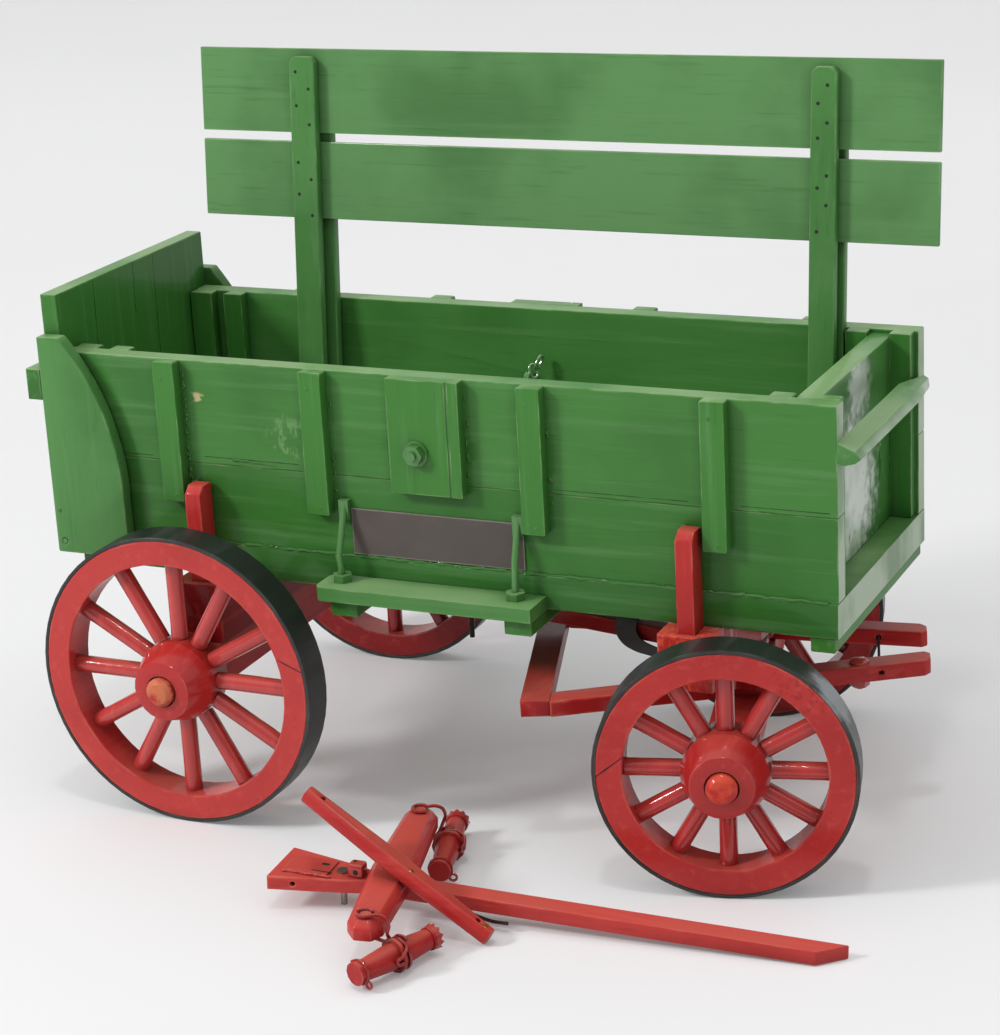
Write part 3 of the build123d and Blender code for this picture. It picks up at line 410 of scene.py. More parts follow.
# Modifiers on the CAD nodes
def shade_group(name, limit):
    """Geometry nodes that shade a piece smooth, with edges sharper than a limit in degrees kept."""
    group = bpy.data.node_groups.new(name, "GeometryNodeTree")
    group.interface.new_socket("Geometry", in_out="INPUT", socket_type="NodeSocketGeometry")
    group.interface.new_socket("Geometry", in_out="OUTPUT", socket_type="NodeSocketGeometry")
    entry = group.nodes.new("NodeGroupInput")
    leave = group.nodes.new("NodeGroupOutput")
    angle = group.nodes.new("GeometryNodeInputMeshEdgeAngle")
    sharp = group.nodes.new("FunctionNodeCompare")
    sharp.operation = "GREATER_THAN"
    sharp.inputs[1].default_value = radians(limit)
    faces = group.nodes.new("GeometryNodeSetShadeSmooth")
    edges = group.nodes.new("GeometryNodeSetShadeSmooth")
    edges.domain = "EDGE"
    edges.inputs["Shade Smooth"].default_value = False
    group.links.new(entry.outputs[0], faces.inputs["Geometry"])
    group.links.new(faces.outputs[0], edges.inputs["Geometry"])
    group.links.new(angle.outputs["Unsigned Angle"], sharp.inputs[0])
    group.links.new(sharp.outputs[0], edges.inputs["Selection"])
    group.links.new(edges.outputs[0], leave.inputs[0])
    return group


SHADE_PLANKS = shade_group("shade_planks", 20)
SHADE_ROUNDS = shade_group("shade_rounds", 42)


def shade(piece, group):
    piece.modifiers.new("shade", "NODES").node_group = group


def soften(piece, width):
    """Welds a CAD node's loose triangles, breaks its edges by a width in millimetres, shades its curves."""
    weld = piece.modifiers.new("weld", "WELD")
    weld.merge_threshold = 0.01 * MM
    if width:
        bevel = piece.modifiers.new("broken_edges", "BEVEL")
        bevel.width = width * MM
        bevel.segments = 2
        bevel.limit_method = "ANGLE"
        bevel.angle_limit = radians(38)
    shade(piece, SHADE_PLANKS if width else SHADE_ROUNDS)


def dress(node, material, width):
    piece = frame["nodes"][node]
    piece.data.materials.clear()
    piece.data.materials.append(material)
    soften(piece, width)


# Mesh helpers
def finish_piece(name, body, mesh, material, group=SHADE_ROUNDS):
    """Closes a bmesh into a named object that rides on a body of the wagon."""
    bmesh.ops.recalc_face_normals(mesh, faces=mesh.faces[:])
    data = bpy.data.meshes.new(name)
    mesh.to_mesh(data)
    mesh.free()
    piece = bpy.data.objects.new(name, data)
    bpy.context.scene.collection.objects.link(piece)
    data.materials.append(material)
    shade(piece, group)
    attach(piece, body)
    return piece


def facing_matrix(place, direction):
    """A frame at a place whose Z looks along a direction."""
    turn = Vector(direction).normalized().to_track_quat("Z", "Y").to_matrix().to_4x4()
    return Matrix.Translation(place) @ turn


def stud(mesh, place, direction, radius, tall, tip=1.0, sides=12):
    """A short round pin or nail head standing on a place; tip is the top's share of the radius."""
    here = facing_matrix(place, direction) @ Matrix.Translation((0, 0, tall * MM / 2))
    bmesh.ops.create_cone(mesh, cap_ends=True, segments=sides, radius1=radius * MM, radius2=radius * tip * MM,
                          depth=tall * MM, matrix=here)


def chunk(mesh, here, size, middle, broken=0.0):
    """A block of a size about a middle in a frame, with its edges broken by a width."""
    scale = Matrix.Diagonal((*[part * MM for part in size], 1))
    made = bmesh.ops.create_cube(mesh, size=1, matrix=here @ Matrix.Translation(Vector(middle) * MM) @ scale)
    if broken:
        edges = list({edge for vert in made["verts"] for edge in vert.link_edges})
        bmesh.ops.bevel(mesh, geom=edges, offset=broken * MM, segments=2, profile=0.5, affect="EDGES",
                        material=-1)


def extruded_ring(mesh, ring):
    """Extrudes a run of edges, and gives the new vertices and their edges."""
    made = bmesh.ops.extrude_edge_only(mesh, edges=ring)
    verts = [item for item in made["geom"] if isinstance(item, bmesh.types.BMVert)]
    fresh = set(verts)
    edges = [item for item in made["geom"] if isinstance(item, bmesh.types.BMEdge)
             and fresh.issuperset(item.verts)]
    return verts, edges


def bent_wire(mesh, points, radius, sides=8, closed=False, swell=None):
    """A round wire through places in metres: a ring of edges extruded along it, swelling at each place."""
    count = len(points)
    thick = swell or [1.0] * count
    tangents = []
    for i in range(count):
        before = points[i - 1] if closed or i else points[0]
        after = points[(i + 1) % count] if closed or i < count - 1 else points[-1]
        tangents.append((after - before).normalized())
    turn = tangents[0].to_track_quat("Z", "Y")

    def place(i):
        return Matrix.Translation(points[i]) @ turn.to_matrix().to_4x4() @ Matrix.Scale(thick[i], 4)
    here = place(0)
    made = bmesh.ops.create_circle(mesh, segments=sides, radius=radius * MM, matrix=here)
    first = ring = list({edge for vert in made["verts"] for edge in vert.link_edges})
    for i in range(1, count):
        turn = tangents[i - 1].rotation_difference(tangents[i]) @ turn
        there = place(i)
        verts, ring = extruded_ring(mesh, ring)
        bmesh.ops.transform(mesh, matrix=there @ here.inverted(), verts=verts)
        here = there
    if closed:
        bmesh.ops.bridge_loops(mesh, edges=first + ring)
    else:
        for loop in (first, ring):
            bmesh.ops.contextual_create(mesh, geom=loop)


def lump(mesh, place, *radii):
    """A drop of thick paint, with its radii along the three axes in millimetres."""
    size = Matrix.Diagonal((*[radius * MM for radius in radii], 1))
    bmesh.ops.create_icosphere(mesh, subdivisions=2, radius=1, matrix=Matrix.Translation(place) @ size)


def smooth_run(points, steps):
    """Places on a smooth curve through a few chosen ones."""
    run = []
    ends = [points[0], *points, points[-1]]
    for a, b, c, d in zip(ends, ends[1:], ends[2:], ends[3:]):
        for i in range(steps):
            t = i / steps
            run.append(0.5 * (2 * b + (c - a) * t + (2 * a - 5 * b + 4 * c - d) * t ** 2
                              + (3 * b - a - 3 * c + d) * t ** 3))
    return run + [points[-1]]


# Operators
class WAGON_OT_paint_box(bpy.types.Operator):
    """Paint the box, its cleats, posts and endgate green"""
    bl_idname = "wagon.paint_box"
    bl_label = "Paint the box"

    # Columns: node, direction of the grain, broken edge in millimetres, shade from dark (-1) to pale (1)
    NODES = (
        ("floor_board", "x", 0.8, -0.5), ("floor_sills", "y", 0.8, 0.0), ("near_lower_board", "x", 0.7, -0.2),
        ("far_lower_board", "x", 0.7, 0.1), ("near_upper_board", "x", 0.7, 0.1),
        ("far_upper_board", "x", 0.7, 0.15),
        ("outer_cleats", "z", 0.9, 0.0), ("side_blocks", "z", 0.25, 0.0), ("inner_cleats", "z", 0.8, -0.2),
        ("front_endboard", "y", 0.8, 0.1), ("front_crossbar", "y", 0.5, 0.4), ("tailboard", "z", 0.9, -0.1),
        ("tail_crossbar", "y", 0.8, 0.0), ("tail_wings", "z", 0.9, 0.35), ("step_board", "x", 0.9, 0.3),
        ("bang_boards", "x", 0.6, 0.8), ("bang_posts", "z", 0.8, 0.35),
    )
    FRONT_NODES = ("floor_board", "near_lower_board", "far_lower_board", "far_upper_board", "front_crossbar")

    def execute(self, context):
        greens = context.scene.wagon_paint.greens()
        # Forward faces of these boards get whitish dust and painted sheen.
        marks = dict.fromkeys(self.FRONT_NODES, self.mark_front_dust_and_sheen)
        marks.update(tailboard=self.mark_tailboard, near_upper_board=self.mark_near_side,
                     front_endboard=self.smear_front)
        for i, (node, grain, width, shade_to) in enumerate(self.NODES):
            shift = (i * 0.37, i * 0.21, i * 0.13)
            material = brushed("green_" + node, toned(greens, shade_to), grain, shift, marks.get(node))
            dress(node, material, width)
        return {"FINISHED"}

    def mark_tailboard(self, finish, colour):
        """Dark joints between the tailboard's planks, open near its top."""
        # Columns: place across the wagon, lower end of the joint
        for y, low in ((21.8, 172.0), (0.0, 250.0), (-42.0, 205.0)):
            for x in (0.0, 10.0):
                seam = finish.line(at(x, y, low), at(x, y + 1.0, 281.0), 0.45)
                colour = finish.mix(seam, colour, srgb(24, 46, 22))
        return colour

    def mark_near_side(self, finish, colour):
        """Thin cracks, a chip and scuffs on the near side's upper board."""
        # Forward faces get the whitish dust and painted sheen first.
        colour = self.mark_front_dust_and_sheen(finish, colour)
        # Columns: start and end of a crack along the board, height
        cracks = ((36.0, 62.0, 192.6), (94.0, 152.0, 194.5), (300.0, 372.0, 193.0), (400.0, 446.0, 193.0))
        for start, end, z in cracks:
            crack = finish.line(at(start, -BOX_HALF, z), at(end, -BOX_HALF, z), 0.4)
            colour = finish.mix(crack, colour, srgb(36, 70, 30))
        chip = finish.both(finish.spot(at(93.0, -BOX_HALF, 227.0), 7.0),
                           finish.span(finish.noise(260.0, (0.4, 1, 1), 4.0), 0.50, 0.56))
        colour = finish.mix(chip, colour, srgb(186, 176, 128))
        scuffs = finish.both(finish.spot(at(147.0, -BOX_HALF, 209.0), 22.0),
                             finish.span(finish.noise(330.0, (1, 1, 0.6), 6.0), 0.48, 0.62, 0.4))
        return finish.mix(scuffs, colour, srgb(140, 182, 124))

    def mark_front_dust_and_sheen(self, finish, colour):
        """Whitish smears on what faces forward, partly dust and partly painted sheen."""
        ahead = finish.span(finish.facing(AHEAD), 0.7, 0.95)
        cloud = finish.span(finish.noise(22.0, (1, 1, 0.6), 6.0), 0.36, 0.60, 0.5)
        cloud = finish.math("ADD", cloud, 0.32)
        return finish.mix(finish.both(cloud, ahead), colour, srgb(190, 206, 182))


    def smear_front(self, finish, colour):
        """A large whitish smear below the crossbar, a small one above it, and flakes."""
        ahead = finish.span(finish.facing(AHEAD), 0.7, 0.95)
        rubbed = finish.both(ahead, finish.span(finish.noise(26.0, detail=5.0), 0.22, 0.56))
        # Columns: place across and height of a smear, its radius, its strength
        for y, z, radius, share in ((-10.0, 178.0, 66.0, 1.0), (6.0, 236.0, 30.0, 0.7)):
            smear = finish.both(finish.spot(at(436.0, y, z), radius), finish.both(rubbed, share))
            colour = finish.mix(smear, colour, srgb(220, 228, 218))
        flakes = finish.both(ahead, finish.span(finish.noise(70.0, (1, 1, 0.5), 5.0), 0.66, 0.70, 0.7))
        return finish.mix(flakes, colour, srgb(34, 62, 34))


class WAGON_OT_paint_gear(bpy.types.Operator):
    """Paint the running gear, the wheels and the loose tongue set red, and blacken the tyres"""
    bl_idname = "wagon.paint_gear"
    bl_label = "Paint the running gear"

    # The darkest tones, of the rear bolster, the reach and the sand board, are painted shade from the box
    # above them.
    # Columns: node, direction of the grain, broken edge in millimetres, shade from dark (-1) to pale (1)
    NODES = (
        ("rear_bolster", "y", 0.8, -1.0), ("front_bolster", "y", 0.8, 0.1), ("stakes", "z", 1.0, 0.15),
        ("reach", "x", 0.8, -0.7), ("sand_board", "y", 0.8, -0.8), ("hounds", "x", 0.9, -0.2),
        ("sway_bar", "y", 0.9, -0.4), ("tongue", "x", 0.7, 0.4), ("doubletree", "y", 0.8, 0.25),
        ("near_singletree", "y", 0, -0.2), ("far_singletree", "y", 0, -0.2), ("neck_yoke", "x", 0.7, 0.1),
    )
    # Columns: piece of a wheel, direction of the grain, broken edge in millimetres, gloss
    WHEEL_PIECES = (("hub", "y", 0.8, 0.6), ("spokes", "z", 0, 1.0), ("felloe", "y", 0.7, 0.4))
    # The far wheels' dark tones are painted shade from the box.
    WHEEL_TONES_AND_PAINTED_SHADE = {"rear_near": 0.35, "rear_far": -0.9, "front_near": 0.12, "front_far": -0.7}
    HUB_SHADE = -0.45     # a hub is darker than its felloe
    SPINDLE_R = 8.0

    def execute(self, context):
        paint = context.scene.wagon_paint
        reds = paint.reds()
        for i, (node, grain, width, shade_to) in enumerate(self.NODES):
            # The front boards get pale streaks that are partly painted reflection.
            streaked_and_sheened = self.streak_boards_and_sheen if node in ("sand_board", "front_bolster") else None
            shift = (i * 0.29, i * 0.17, i * 0.41)
            material = brushed("red_" + node, toned(reds, shade_to), grain, shift, streaked_and_sheened, dust_and_sheen=0.25)
            dress(node, material, width)
        wheels = [f"{end}_{side}" for end in ("rear", "front") for side in ("near", "far")]
        band = tyre_band("tyre_black", paint)
        # This band carries a painted sheen, for the near front tyre.
        rubbed = tyre_band("tyre_painted_sheen", paint, self.paint_tyre_sheen)
        for i, (part, grain, width, coat) in enumerate(self.WHEEL_PIECES):
            for wheel in wheels:
                marks = {"rear_near_felloe": self.crack_rear_felloe,
                         "front_near_felloe": self.crack_front_felloe,
                         f"{wheel}_hub": self.gap_about(wheel + "_spin")}
                node = f"{wheel}_{part}"
                shade_to = self.WHEEL_TONES_AND_PAINTED_SHADE[wheel] + (self.HUB_SHADE if part == "hub" else 0)
                tones = toned(reds, shade_to)
                material = brushed("red_" + node, tones, grain, (i * 0.53, len(wheel) * 0.31, i * 0.19),
                                   marks.get(node), coat, 0.2)
                dress(node, material, width)
        for wheel in wheels:
            # The near front tyre gets the band with the painted sheen.
            dress(wheel + "_tyre", rubbed if wheel == "front_near" else band, 0.4)
        self.paint_axle("rear_axle", "rear_near_spin", WAGON, reds, tuple(paint.wood))
        self.paint_axle("front_axle", "front_near_spin", GEAR.translation, reds, tuple(paint.wood_red))
        return {"FINISHED"}

    def paint_tyre_sheen(self, finish, colour):
        """A painted silvery sheen, standing for a reflection, on a length of tyre ahead of the wheel's top.
        """
        hub = joint_place("front_near_spin")
        place = hub + GEAR.to_3x3() @ Vector((0.80 * hub.z, 0, 0.60 * hub.z))
        return finish.mix(finish.both(finish.spot(place, 24.0), 0.75), colour, srgb(142, 148, 152))

    def gap_about(self, joint):
        """A dark gap between the hub and the axle's end."""
        def gap(finish, colour):
            off = finish.from_axis(joint_place(joint), Vector(JOINTS[joint]["axis"]))[1]
            outside = finish.span(off, (self.SPINDLE_R + 0.5) * MM, (self.SPINDLE_R + 1.2) * MM)
            return finish.mix(outside, srgb(46, 14, 12), colour)
        return gap

    def crack_rear_felloe(self, finish, colour):
        """A dark crack across the near rear felloe, ahead of its top."""
        return self.crack(finish, colour, "rear_near_spin", (60.0, 22.0), (80.0, 14.0))

    def crack_front_felloe(self, finish, colour):
        """A dark crack across the near front felloe's back, and hammer marks ahead of its top."""
        colour = self.crack(finish, colour, "front_near_spin", (-66.0, -3.0), (-47.0, 12.0))
        place = joint_place("front_near_spin") + GEAR.to_3x3() @ Vector((38.0, -10.0, 44.0)) * MM
        pits = finish.span(finish.noise(330.0, detail=1.0), 0.52, 0.60, 0.4)
        dents = finish.both(finish.spot(place, 24.0), pits)
        return finish.mix(dents, colour, srgb(132, 26, 28))

    def crack(self, finish, colour, joint, start, end):
        """A dark line on a wheel's outer face, from and to places along and above its axle."""
        turn = GEAR.to_3x3() if joint.startswith("front") else Matrix.Identity(3)
        out = Vector((0, -10.0, 0))
        ends = [joint_place(joint) + turn @ (Vector((x, 0, z)) + out) * MM for x, z in (start, end)]
        return finish.mix(finish.line(*ends, 0.6), colour, srgb(48, 12, 12))

    def streak_boards_and_sheen(self, finish, colour):
        """Pink and white streaks on the front boards, partly thin paint and partly painted reflection, and
        orange wood at the end.
        """
        # Pale streaks: partly thin paint, partly painted reflection.
        run = finish.span(finish.noise(110.0, (1, 0.6, 0.12), 4.0), 0.52, 0.60, 0.8)
        middle = finish.span(finish.along((0, 1, 0), at(0, -86.0, 0)), 0, 0.012)
        colour = finish.mix(finish.both(run, middle), colour, srgb(222, 176, 178))
        rough = finish.span(finish.noise(420.0, (1, 1, 0.5), 6.0), 0.44, 0.66, 0.6)
        broken = finish.both(finish.math("SUBTRACT", 1.0, middle), rough)
        return finish.mix(broken, colour, srgb(232, 98, 58))

    def paint_axle(self, node, joint, middle, reds, wood):
        """Red paint that thins out on the axle's end, with bare wood showing."""
        axis = Vector(JOINTS[joint]["axis"])

        def bare_end(finish, colour):
            out = finish.math("ABSOLUTE", finish.along(axis, middle))
            end = finish.span(out, 0.1385, 0.1400)
            patchy = finish.span(finish.noise(160.0, detail=4.0), 0.34, 0.60, 0.8)
            return finish.mix(finish.both(end, patchy), colour, wood)
        dress(node, brushed("red_" + node, reds, "y", (0.7, 0.2, 0.9), bare_end, dust_and_sheen=0.25), 0.6)


class WAGON_OT_dress_hardware(bpy.types.Operator):
    """Give the plate, rods, bolts and pins their finishes"""
    bl_idname = "wagon.dress_hardware"
    bl_label = "Dress the hardware"

    def execute(self, context):
        paint = context.scene.wagon_paint
        steel = bare_metal("bare_steel", tuple(paint.steel), srgb(112, 82, 60))
        green_iron = brushed("green_iron", toned(paint.greens(), 0.15), "z", (3.1, 0, 0), coat=1.0, wear=0)
        red_iron = brushed("red_iron", toned(paint.reds(), -0.5), "z", (4.1, 0, 0), coat=1.0, wear=0)
        # Columns: node, finish, slot, broken edge in millimetres
        for node, material, slot, width in (
                ("sign_plate", blank_plate("blank_plate", paint), "plate", 0.2),
                ("step_rods", green_iron, "hardware_green", 0),
                ("chain_bolts", green_iron, "hardware_green", 0),
                ("spreader_chain", green_iron, "hardware_green", 0), ("king_pin", steel, "hardware", 0),
                ("rear_strap", red_iron, "hardware_red", 0.3), ("axle_bolts", red_iron, "hardware_red", 0),
                ("tongue_pins", steel, "hardware", 0), ("tree_pins", red_iron, "hardware", 0),
                ("tail_hinge_rod", green_iron, "hardware", 0),
                ("tail_hinge_eyes", green_iron, "hardware", 0)):
            dress(node, material, width)
        return {"FINISHED"}


class WAGON_OT_hang_chain(bpy.types.Operator):
    """Hang a chain of round wire links between the two bolts' eyes"""
    bl_idname = "wagon.hang_chain"
    bl_label = "Hang the chain"

    LINKS = 25
    BOLT_X, BOLT_Z = 225.6, 208.5
    HALF, SAG = 60.5, 40.0    # half the span between the eyes, and how far the chain hangs below them
    END = 5.1                 # last link's middle from the eye
    WIRE_R = 0.65
    STRAIGHT, ROUND_R = 1.8, 2.05   # half the straight run and the round ends of a link, on the wire's middle
    # Spare links caught stiff over the far eye, columns: place X, Y, Z, tilt to the right, turn on the length
    SPARE = ((228.9, 55.0, 210.2, 75, 70), (231.2, 57.0, 214.4, 98, 10), (233.7, 59.4, 219.0, 62, 55))
    SPARE_FACE = (0.42, -0.86, 0.3)
    SPARE_WIRE_R = 0.95

    def execute(self, context):
        links = [(here, self.WIRE_R) for here in self.link_frames()]
        for x, y, z, tilt, turn in self.SPARE:
            here = facing_matrix(at(x, y, z), self.SPARE_FACE)
            links.append((here @ turned_frame(Vector(), ("Z", tilt), ("X", turn)), self.SPARE_WIRE_R))
        mesh = bmesh.new()
        loop = [(end * self.STRAIGHT + self.ROUND_R * cos(a), self.ROUND_R * sin(a))
                for end, first in ((1, -90), (-1, 90)) for a in (radians(first + 30 * i) for i in range(7))]
        for here, radius in links:
            bent_wire(mesh, [spot(here, x, y, 0) for x, y in loop], radius, closed=True)
        paint = context.scene.wagon_paint
        # A pale tone with strong top mixing: painted highlights on the links.
        greens = toned(paint.greens(), 1.0)
        material = brushed("chain_green_painted_highlight", greens, "z", (5.2, 0, 0), coat=1.0, dust_and_sheen=0.9, wear=0)
        piece = finish_piece("round_chain", "root", mesh, material)
        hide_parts("spreader_chain")
        return {"FINISHED"}

    def link_frames(self):
        """Frames at equal steps along the hanging line, every second one turned on its side."""
        steps = 600
        line = [Vector((0, self.HALF * (2 * i / steps - 1), 0)) for i in range(steps + 1)]
        for point in line:
            point.z = self.SAG * (point.y / self.HALF) ** 2 - self.SAG
        lengths = [0.0]
        for a, b in zip(line, line[1:]):
            lengths.append(lengths[-1] + (b - a).length)
        frames = []
        for i in range(self.LINKS):
            goal = self.END + (lengths[-1] - 2 * self.END) * i / (self.LINKS - 1)
            k = min(range(1, steps), key=lambda n: abs(lengths[n] - goal))
            heading = (line[k + 1] - line[k - 1]).to_track_quat("X", "Z").to_matrix().to_4x4()
            place = Matrix.Translation(at(self.BOLT_X, line[k].y, self.BOLT_Z + line[k].z))
            frames.append(place @ heading @ Matrix.Rotation(pi / 2 * (i % 2), 4, "X"))
        return frames


class WAGON_OT_drive_nails(bpy.types.Operator):
    """Drive the nails of the bang boards, the cleats and the wings"""
    bl_idname = "wagon.drive_nails"
    bl_label = "Drive the nails"

    POST_FACE = -15.0     # near faces of the bang posts in the leaning stand
    # Columns: places of a post's nails along the wagon, in turn; their heights up the post
    POST_NAILS = (
        ((90.7, 98.6), (130.0, 120.5, 111.0, 100.5, 79.0, 69.5, 61.0, 49.0)),
        ((403.2, 398.2), (129.0, 119.5, 109.5, 101.5, 82.0, 75.5, 66.5, 52.5)),
    )

    def execute(self, context):
        # Thin dark discs on the posts: painted shade for nail holes.
        holes = bmesh.new()
        outward = BANG_STAND.to_3x3() @ Vector((0, -1, 0))
        for across, heights in self.POST_NAILS:
            for i, height in enumerate(heights):
                place = spot(BANG_STAND, across[i % 2], self.POST_FACE, height)
                stud(holes, place, outward, 0.95, 0.12, sides=10)
        finish_piece("post_nails", "root", holes, painted_hole_shade("nail_hole_shade"))

        heads = bmesh.new()
        for x in CLEAT_MIDDLES:
            for dx, z in ((-1.6, 239.0), (1.8, 173.5)):
                stud(heads, at(x + dx, -CLEAT_FACE, z), (0, -1, 0), 1.1, 0.3, 0.5)
        greens = context.scene.wagon_paint.greens()
        material = brushed("green_nails", toned(greens, 0.1), "z", (6.3, 0, 0), wear=0)
        finish_piece("side_nails", "root", heads, material)

        wing = bmesh.new()
        stud(wing, at(3.4, -WING_FACE, 159.0), (0, -1, 0), 1.5, 0.5, 0.5)
        finish_piece("wing_nail", "endgate", wing, material)
        return {"FINISHED"}


class WAGON_OT_run_paint(bpy.types.Operator):
    """Lay the runs of thick paint along the floor's edge and down the sides"""
    bl_idname = "wagon.run_paint"
    bl_label = "Run the paint"

    def execute(self, context):
        chance = random.Random(7)
        mesh = bmesh.new()
        points, swell = [], []
        x = 30.0
        while x < 448.0:
            y = -BOX_HALF - 0.45 + chance.uniform(-0.12, 0.12)
            points.append(at(x, y, FLOOR_TOP + chance.uniform(-0.1, 0.5)))
            swell.append(chance.uniform(0.45, 1.15))
            x += chance.uniform(2.0, 4.5)
        bent_wire(mesh, points, 1.0, 8, swell=swell)
        seam = [at(112.0 + 2.0 * i, -BOX_HALF - 0.1, 194.2 - 0.12 * i + chance.uniform(-0.3, 0.3))
                for i in range(14)]
        bent_wire(mesh, seam, 0.6, 8, swell=[1.4 - 0.08 * i for i in range(14)])
        # Lumps of glue and paint beside a cleat, columns: place along the wagon, top, foot, how many
        runs = ((84.0, 244.0, 232.0, 12), (84.0, 226.0, 206.0, 10), (84.0, 200.0, 176.0, 14),
                (251.4, 240.0, 196.0, 14), (172.4, 236.0, 180.0, 8), (297.0, 236.0, 184.0, 8))
        for x, top, foot, count in runs:
            for _ in range(count):
                place = at(x + chance.uniform(-0.2, 1.6), -BOX_HALF, chance.uniform(foot, top))
                lump(mesh, place, chance.uniform(0.4, 1.0), 0.6, chance.uniform(0.6, 1.6))
        for _ in range(60):
            place = at(chance.uniform(130.0, 445.0), -BOX_HALF - 0.5, FLOOR_TOP + chance.uniform(-0.6, 0.9))
            lump(mesh, place, chance.uniform(0.6, 2.4), 0.8, chance.uniform(0.4, 0.9))
        chunk(mesh, turned_frame(at(244.5, 1.1 - CLEAT_FACE, (BLOCK_FOOT + BOX_TOP) / 2)),
              (1.0, 1.4, BOX_TOP - BLOCK_FOOT - 0.4), (0, 0, 0))
        # A darker green, standing partly for the shade along the bead: painted shade.
        greens = toned(context.scene.wagon_paint.greens(), -0.35)
        material = brushed("thick_green_and_painted_shade", greens, "x", (7.7, 0, 0), coat=1.0, dust_and_sheen=0.1, wear=0)
        finish_piece("paint_runs", "root", mesh, material)
        return {"FINISHED"}


class WAGON_OT_dress_tongue(bpy.types.Operator):
    """Add the irons, nails and hook of the loose tongue and the neck yoke"""
    bl_idname = "wagon.dress_tongue"
    bl_label = "Dress the tongue"

    TOP = 7.5             # the tongue's top above its underside
    YOKE_TOP = 9.0

    def execute(self, context):
        paint = context.scene.wagon_paint
        red = brushed("red_irons", toned(paint.reds(), 0.1), "x", (8.1, 0, 0), coat=1.0, dust_and_sheen=0.3)
        hole = painted_hole_shade("tongue_hole_shade")
        irons = bmesh.new()
        chunk(irons, TONGUE, (24.0, 17.0, 0.9), (17.0, 0, self.TOP + 0.35), 0.3)
        chunk(irons, TONGUE, (24.0, 1.6, 1.2), (17.0, -9.0, self.TOP + 0.5), 0.4)
        chunk(irons, TONGUE, (8.6, 8.0, 7.4), (43.4, -1.5, self.TOP + 3.4), 1.6)
        finish_piece("tongue_irons", "tongue", irons, red, SHADE_PLANKS)

        drops = bmesh.new()
        chance = random.Random(3)
        for _ in range(18):
            place = spot(TONGUE, chance.uniform(6.0, 31.0), -chance.choice((8.4, 9.6)),
                         self.TOP + chance.uniform(0.4, 1.1))
            lump(drops, place, chance.uniform(0.6, 2.2), chance.uniform(0.4, 0.9), chance.uniform(0.3, 0.6))
        finish_piece("tongue_drops", "tongue", drops, red)

        # Thin dark pieces on the tongue: painted shade for its slots and holes.
        slits = bmesh.new()
        chunk(slits, TONGUE, (11.0, 0.7, 0.3), (25.0, -5.0, self.TOP + 0.8))
        chunk(slits, TONGUE, (4.0, 2.0, 0.3), (24.0, 3.0, self.TOP + 0.8))
        beside = TONGUE.to_3x3() @ Vector((0, -1, 0))
        stud(slits, spot(TONGUE, 44.0, -5.45, self.TOP + 3.2), beside, 1.5, 0.12)
        upward = TONGUE.to_3x3() @ Vector(UP)
        stud(slits, spot(TONGUE, 42.0, -0.5, self.TOP + 7.05), upward, 1.1, 0.12)
        finish_piece("tongue_slits", "tongue", slits, hole)

        hook = bmesh.new()
        bends = ((101, -5.0, -0.5), (109, -6.2, -2.0), (118, -8.2, -2.6), (127, -9.8, -1.6))
        path = [spot(TONGUE, *point) for point in bends]
        bent_wire(hook, smooth_run(path, 5), 0.95)
        steel = bare_metal("dark_steel", srgb(70, 52, 48), srgb(52, 34, 30))
        finish_piece("tongue_hook", "tongue", hook, steel)

        nails = bmesh.new()
        upright = YOKE.to_3x3() @ Vector(UP)
        # Columns: along the yoke, across it
        for x, y in ((50.0, 2.5), (4.5, 0.8)):
            stud(nails, spot(YOKE, x, y, self.YOKE_TOP), upright, 1.4, 0.3, 0.7)
        brass = bare_metal("brass_nails", srgb(196, 140, 72), srgb(120, 72, 40), 0.3)
        finish_piece("yoke_nails", "neck_yoke", nails, brass)
        return {"FINISHED"}


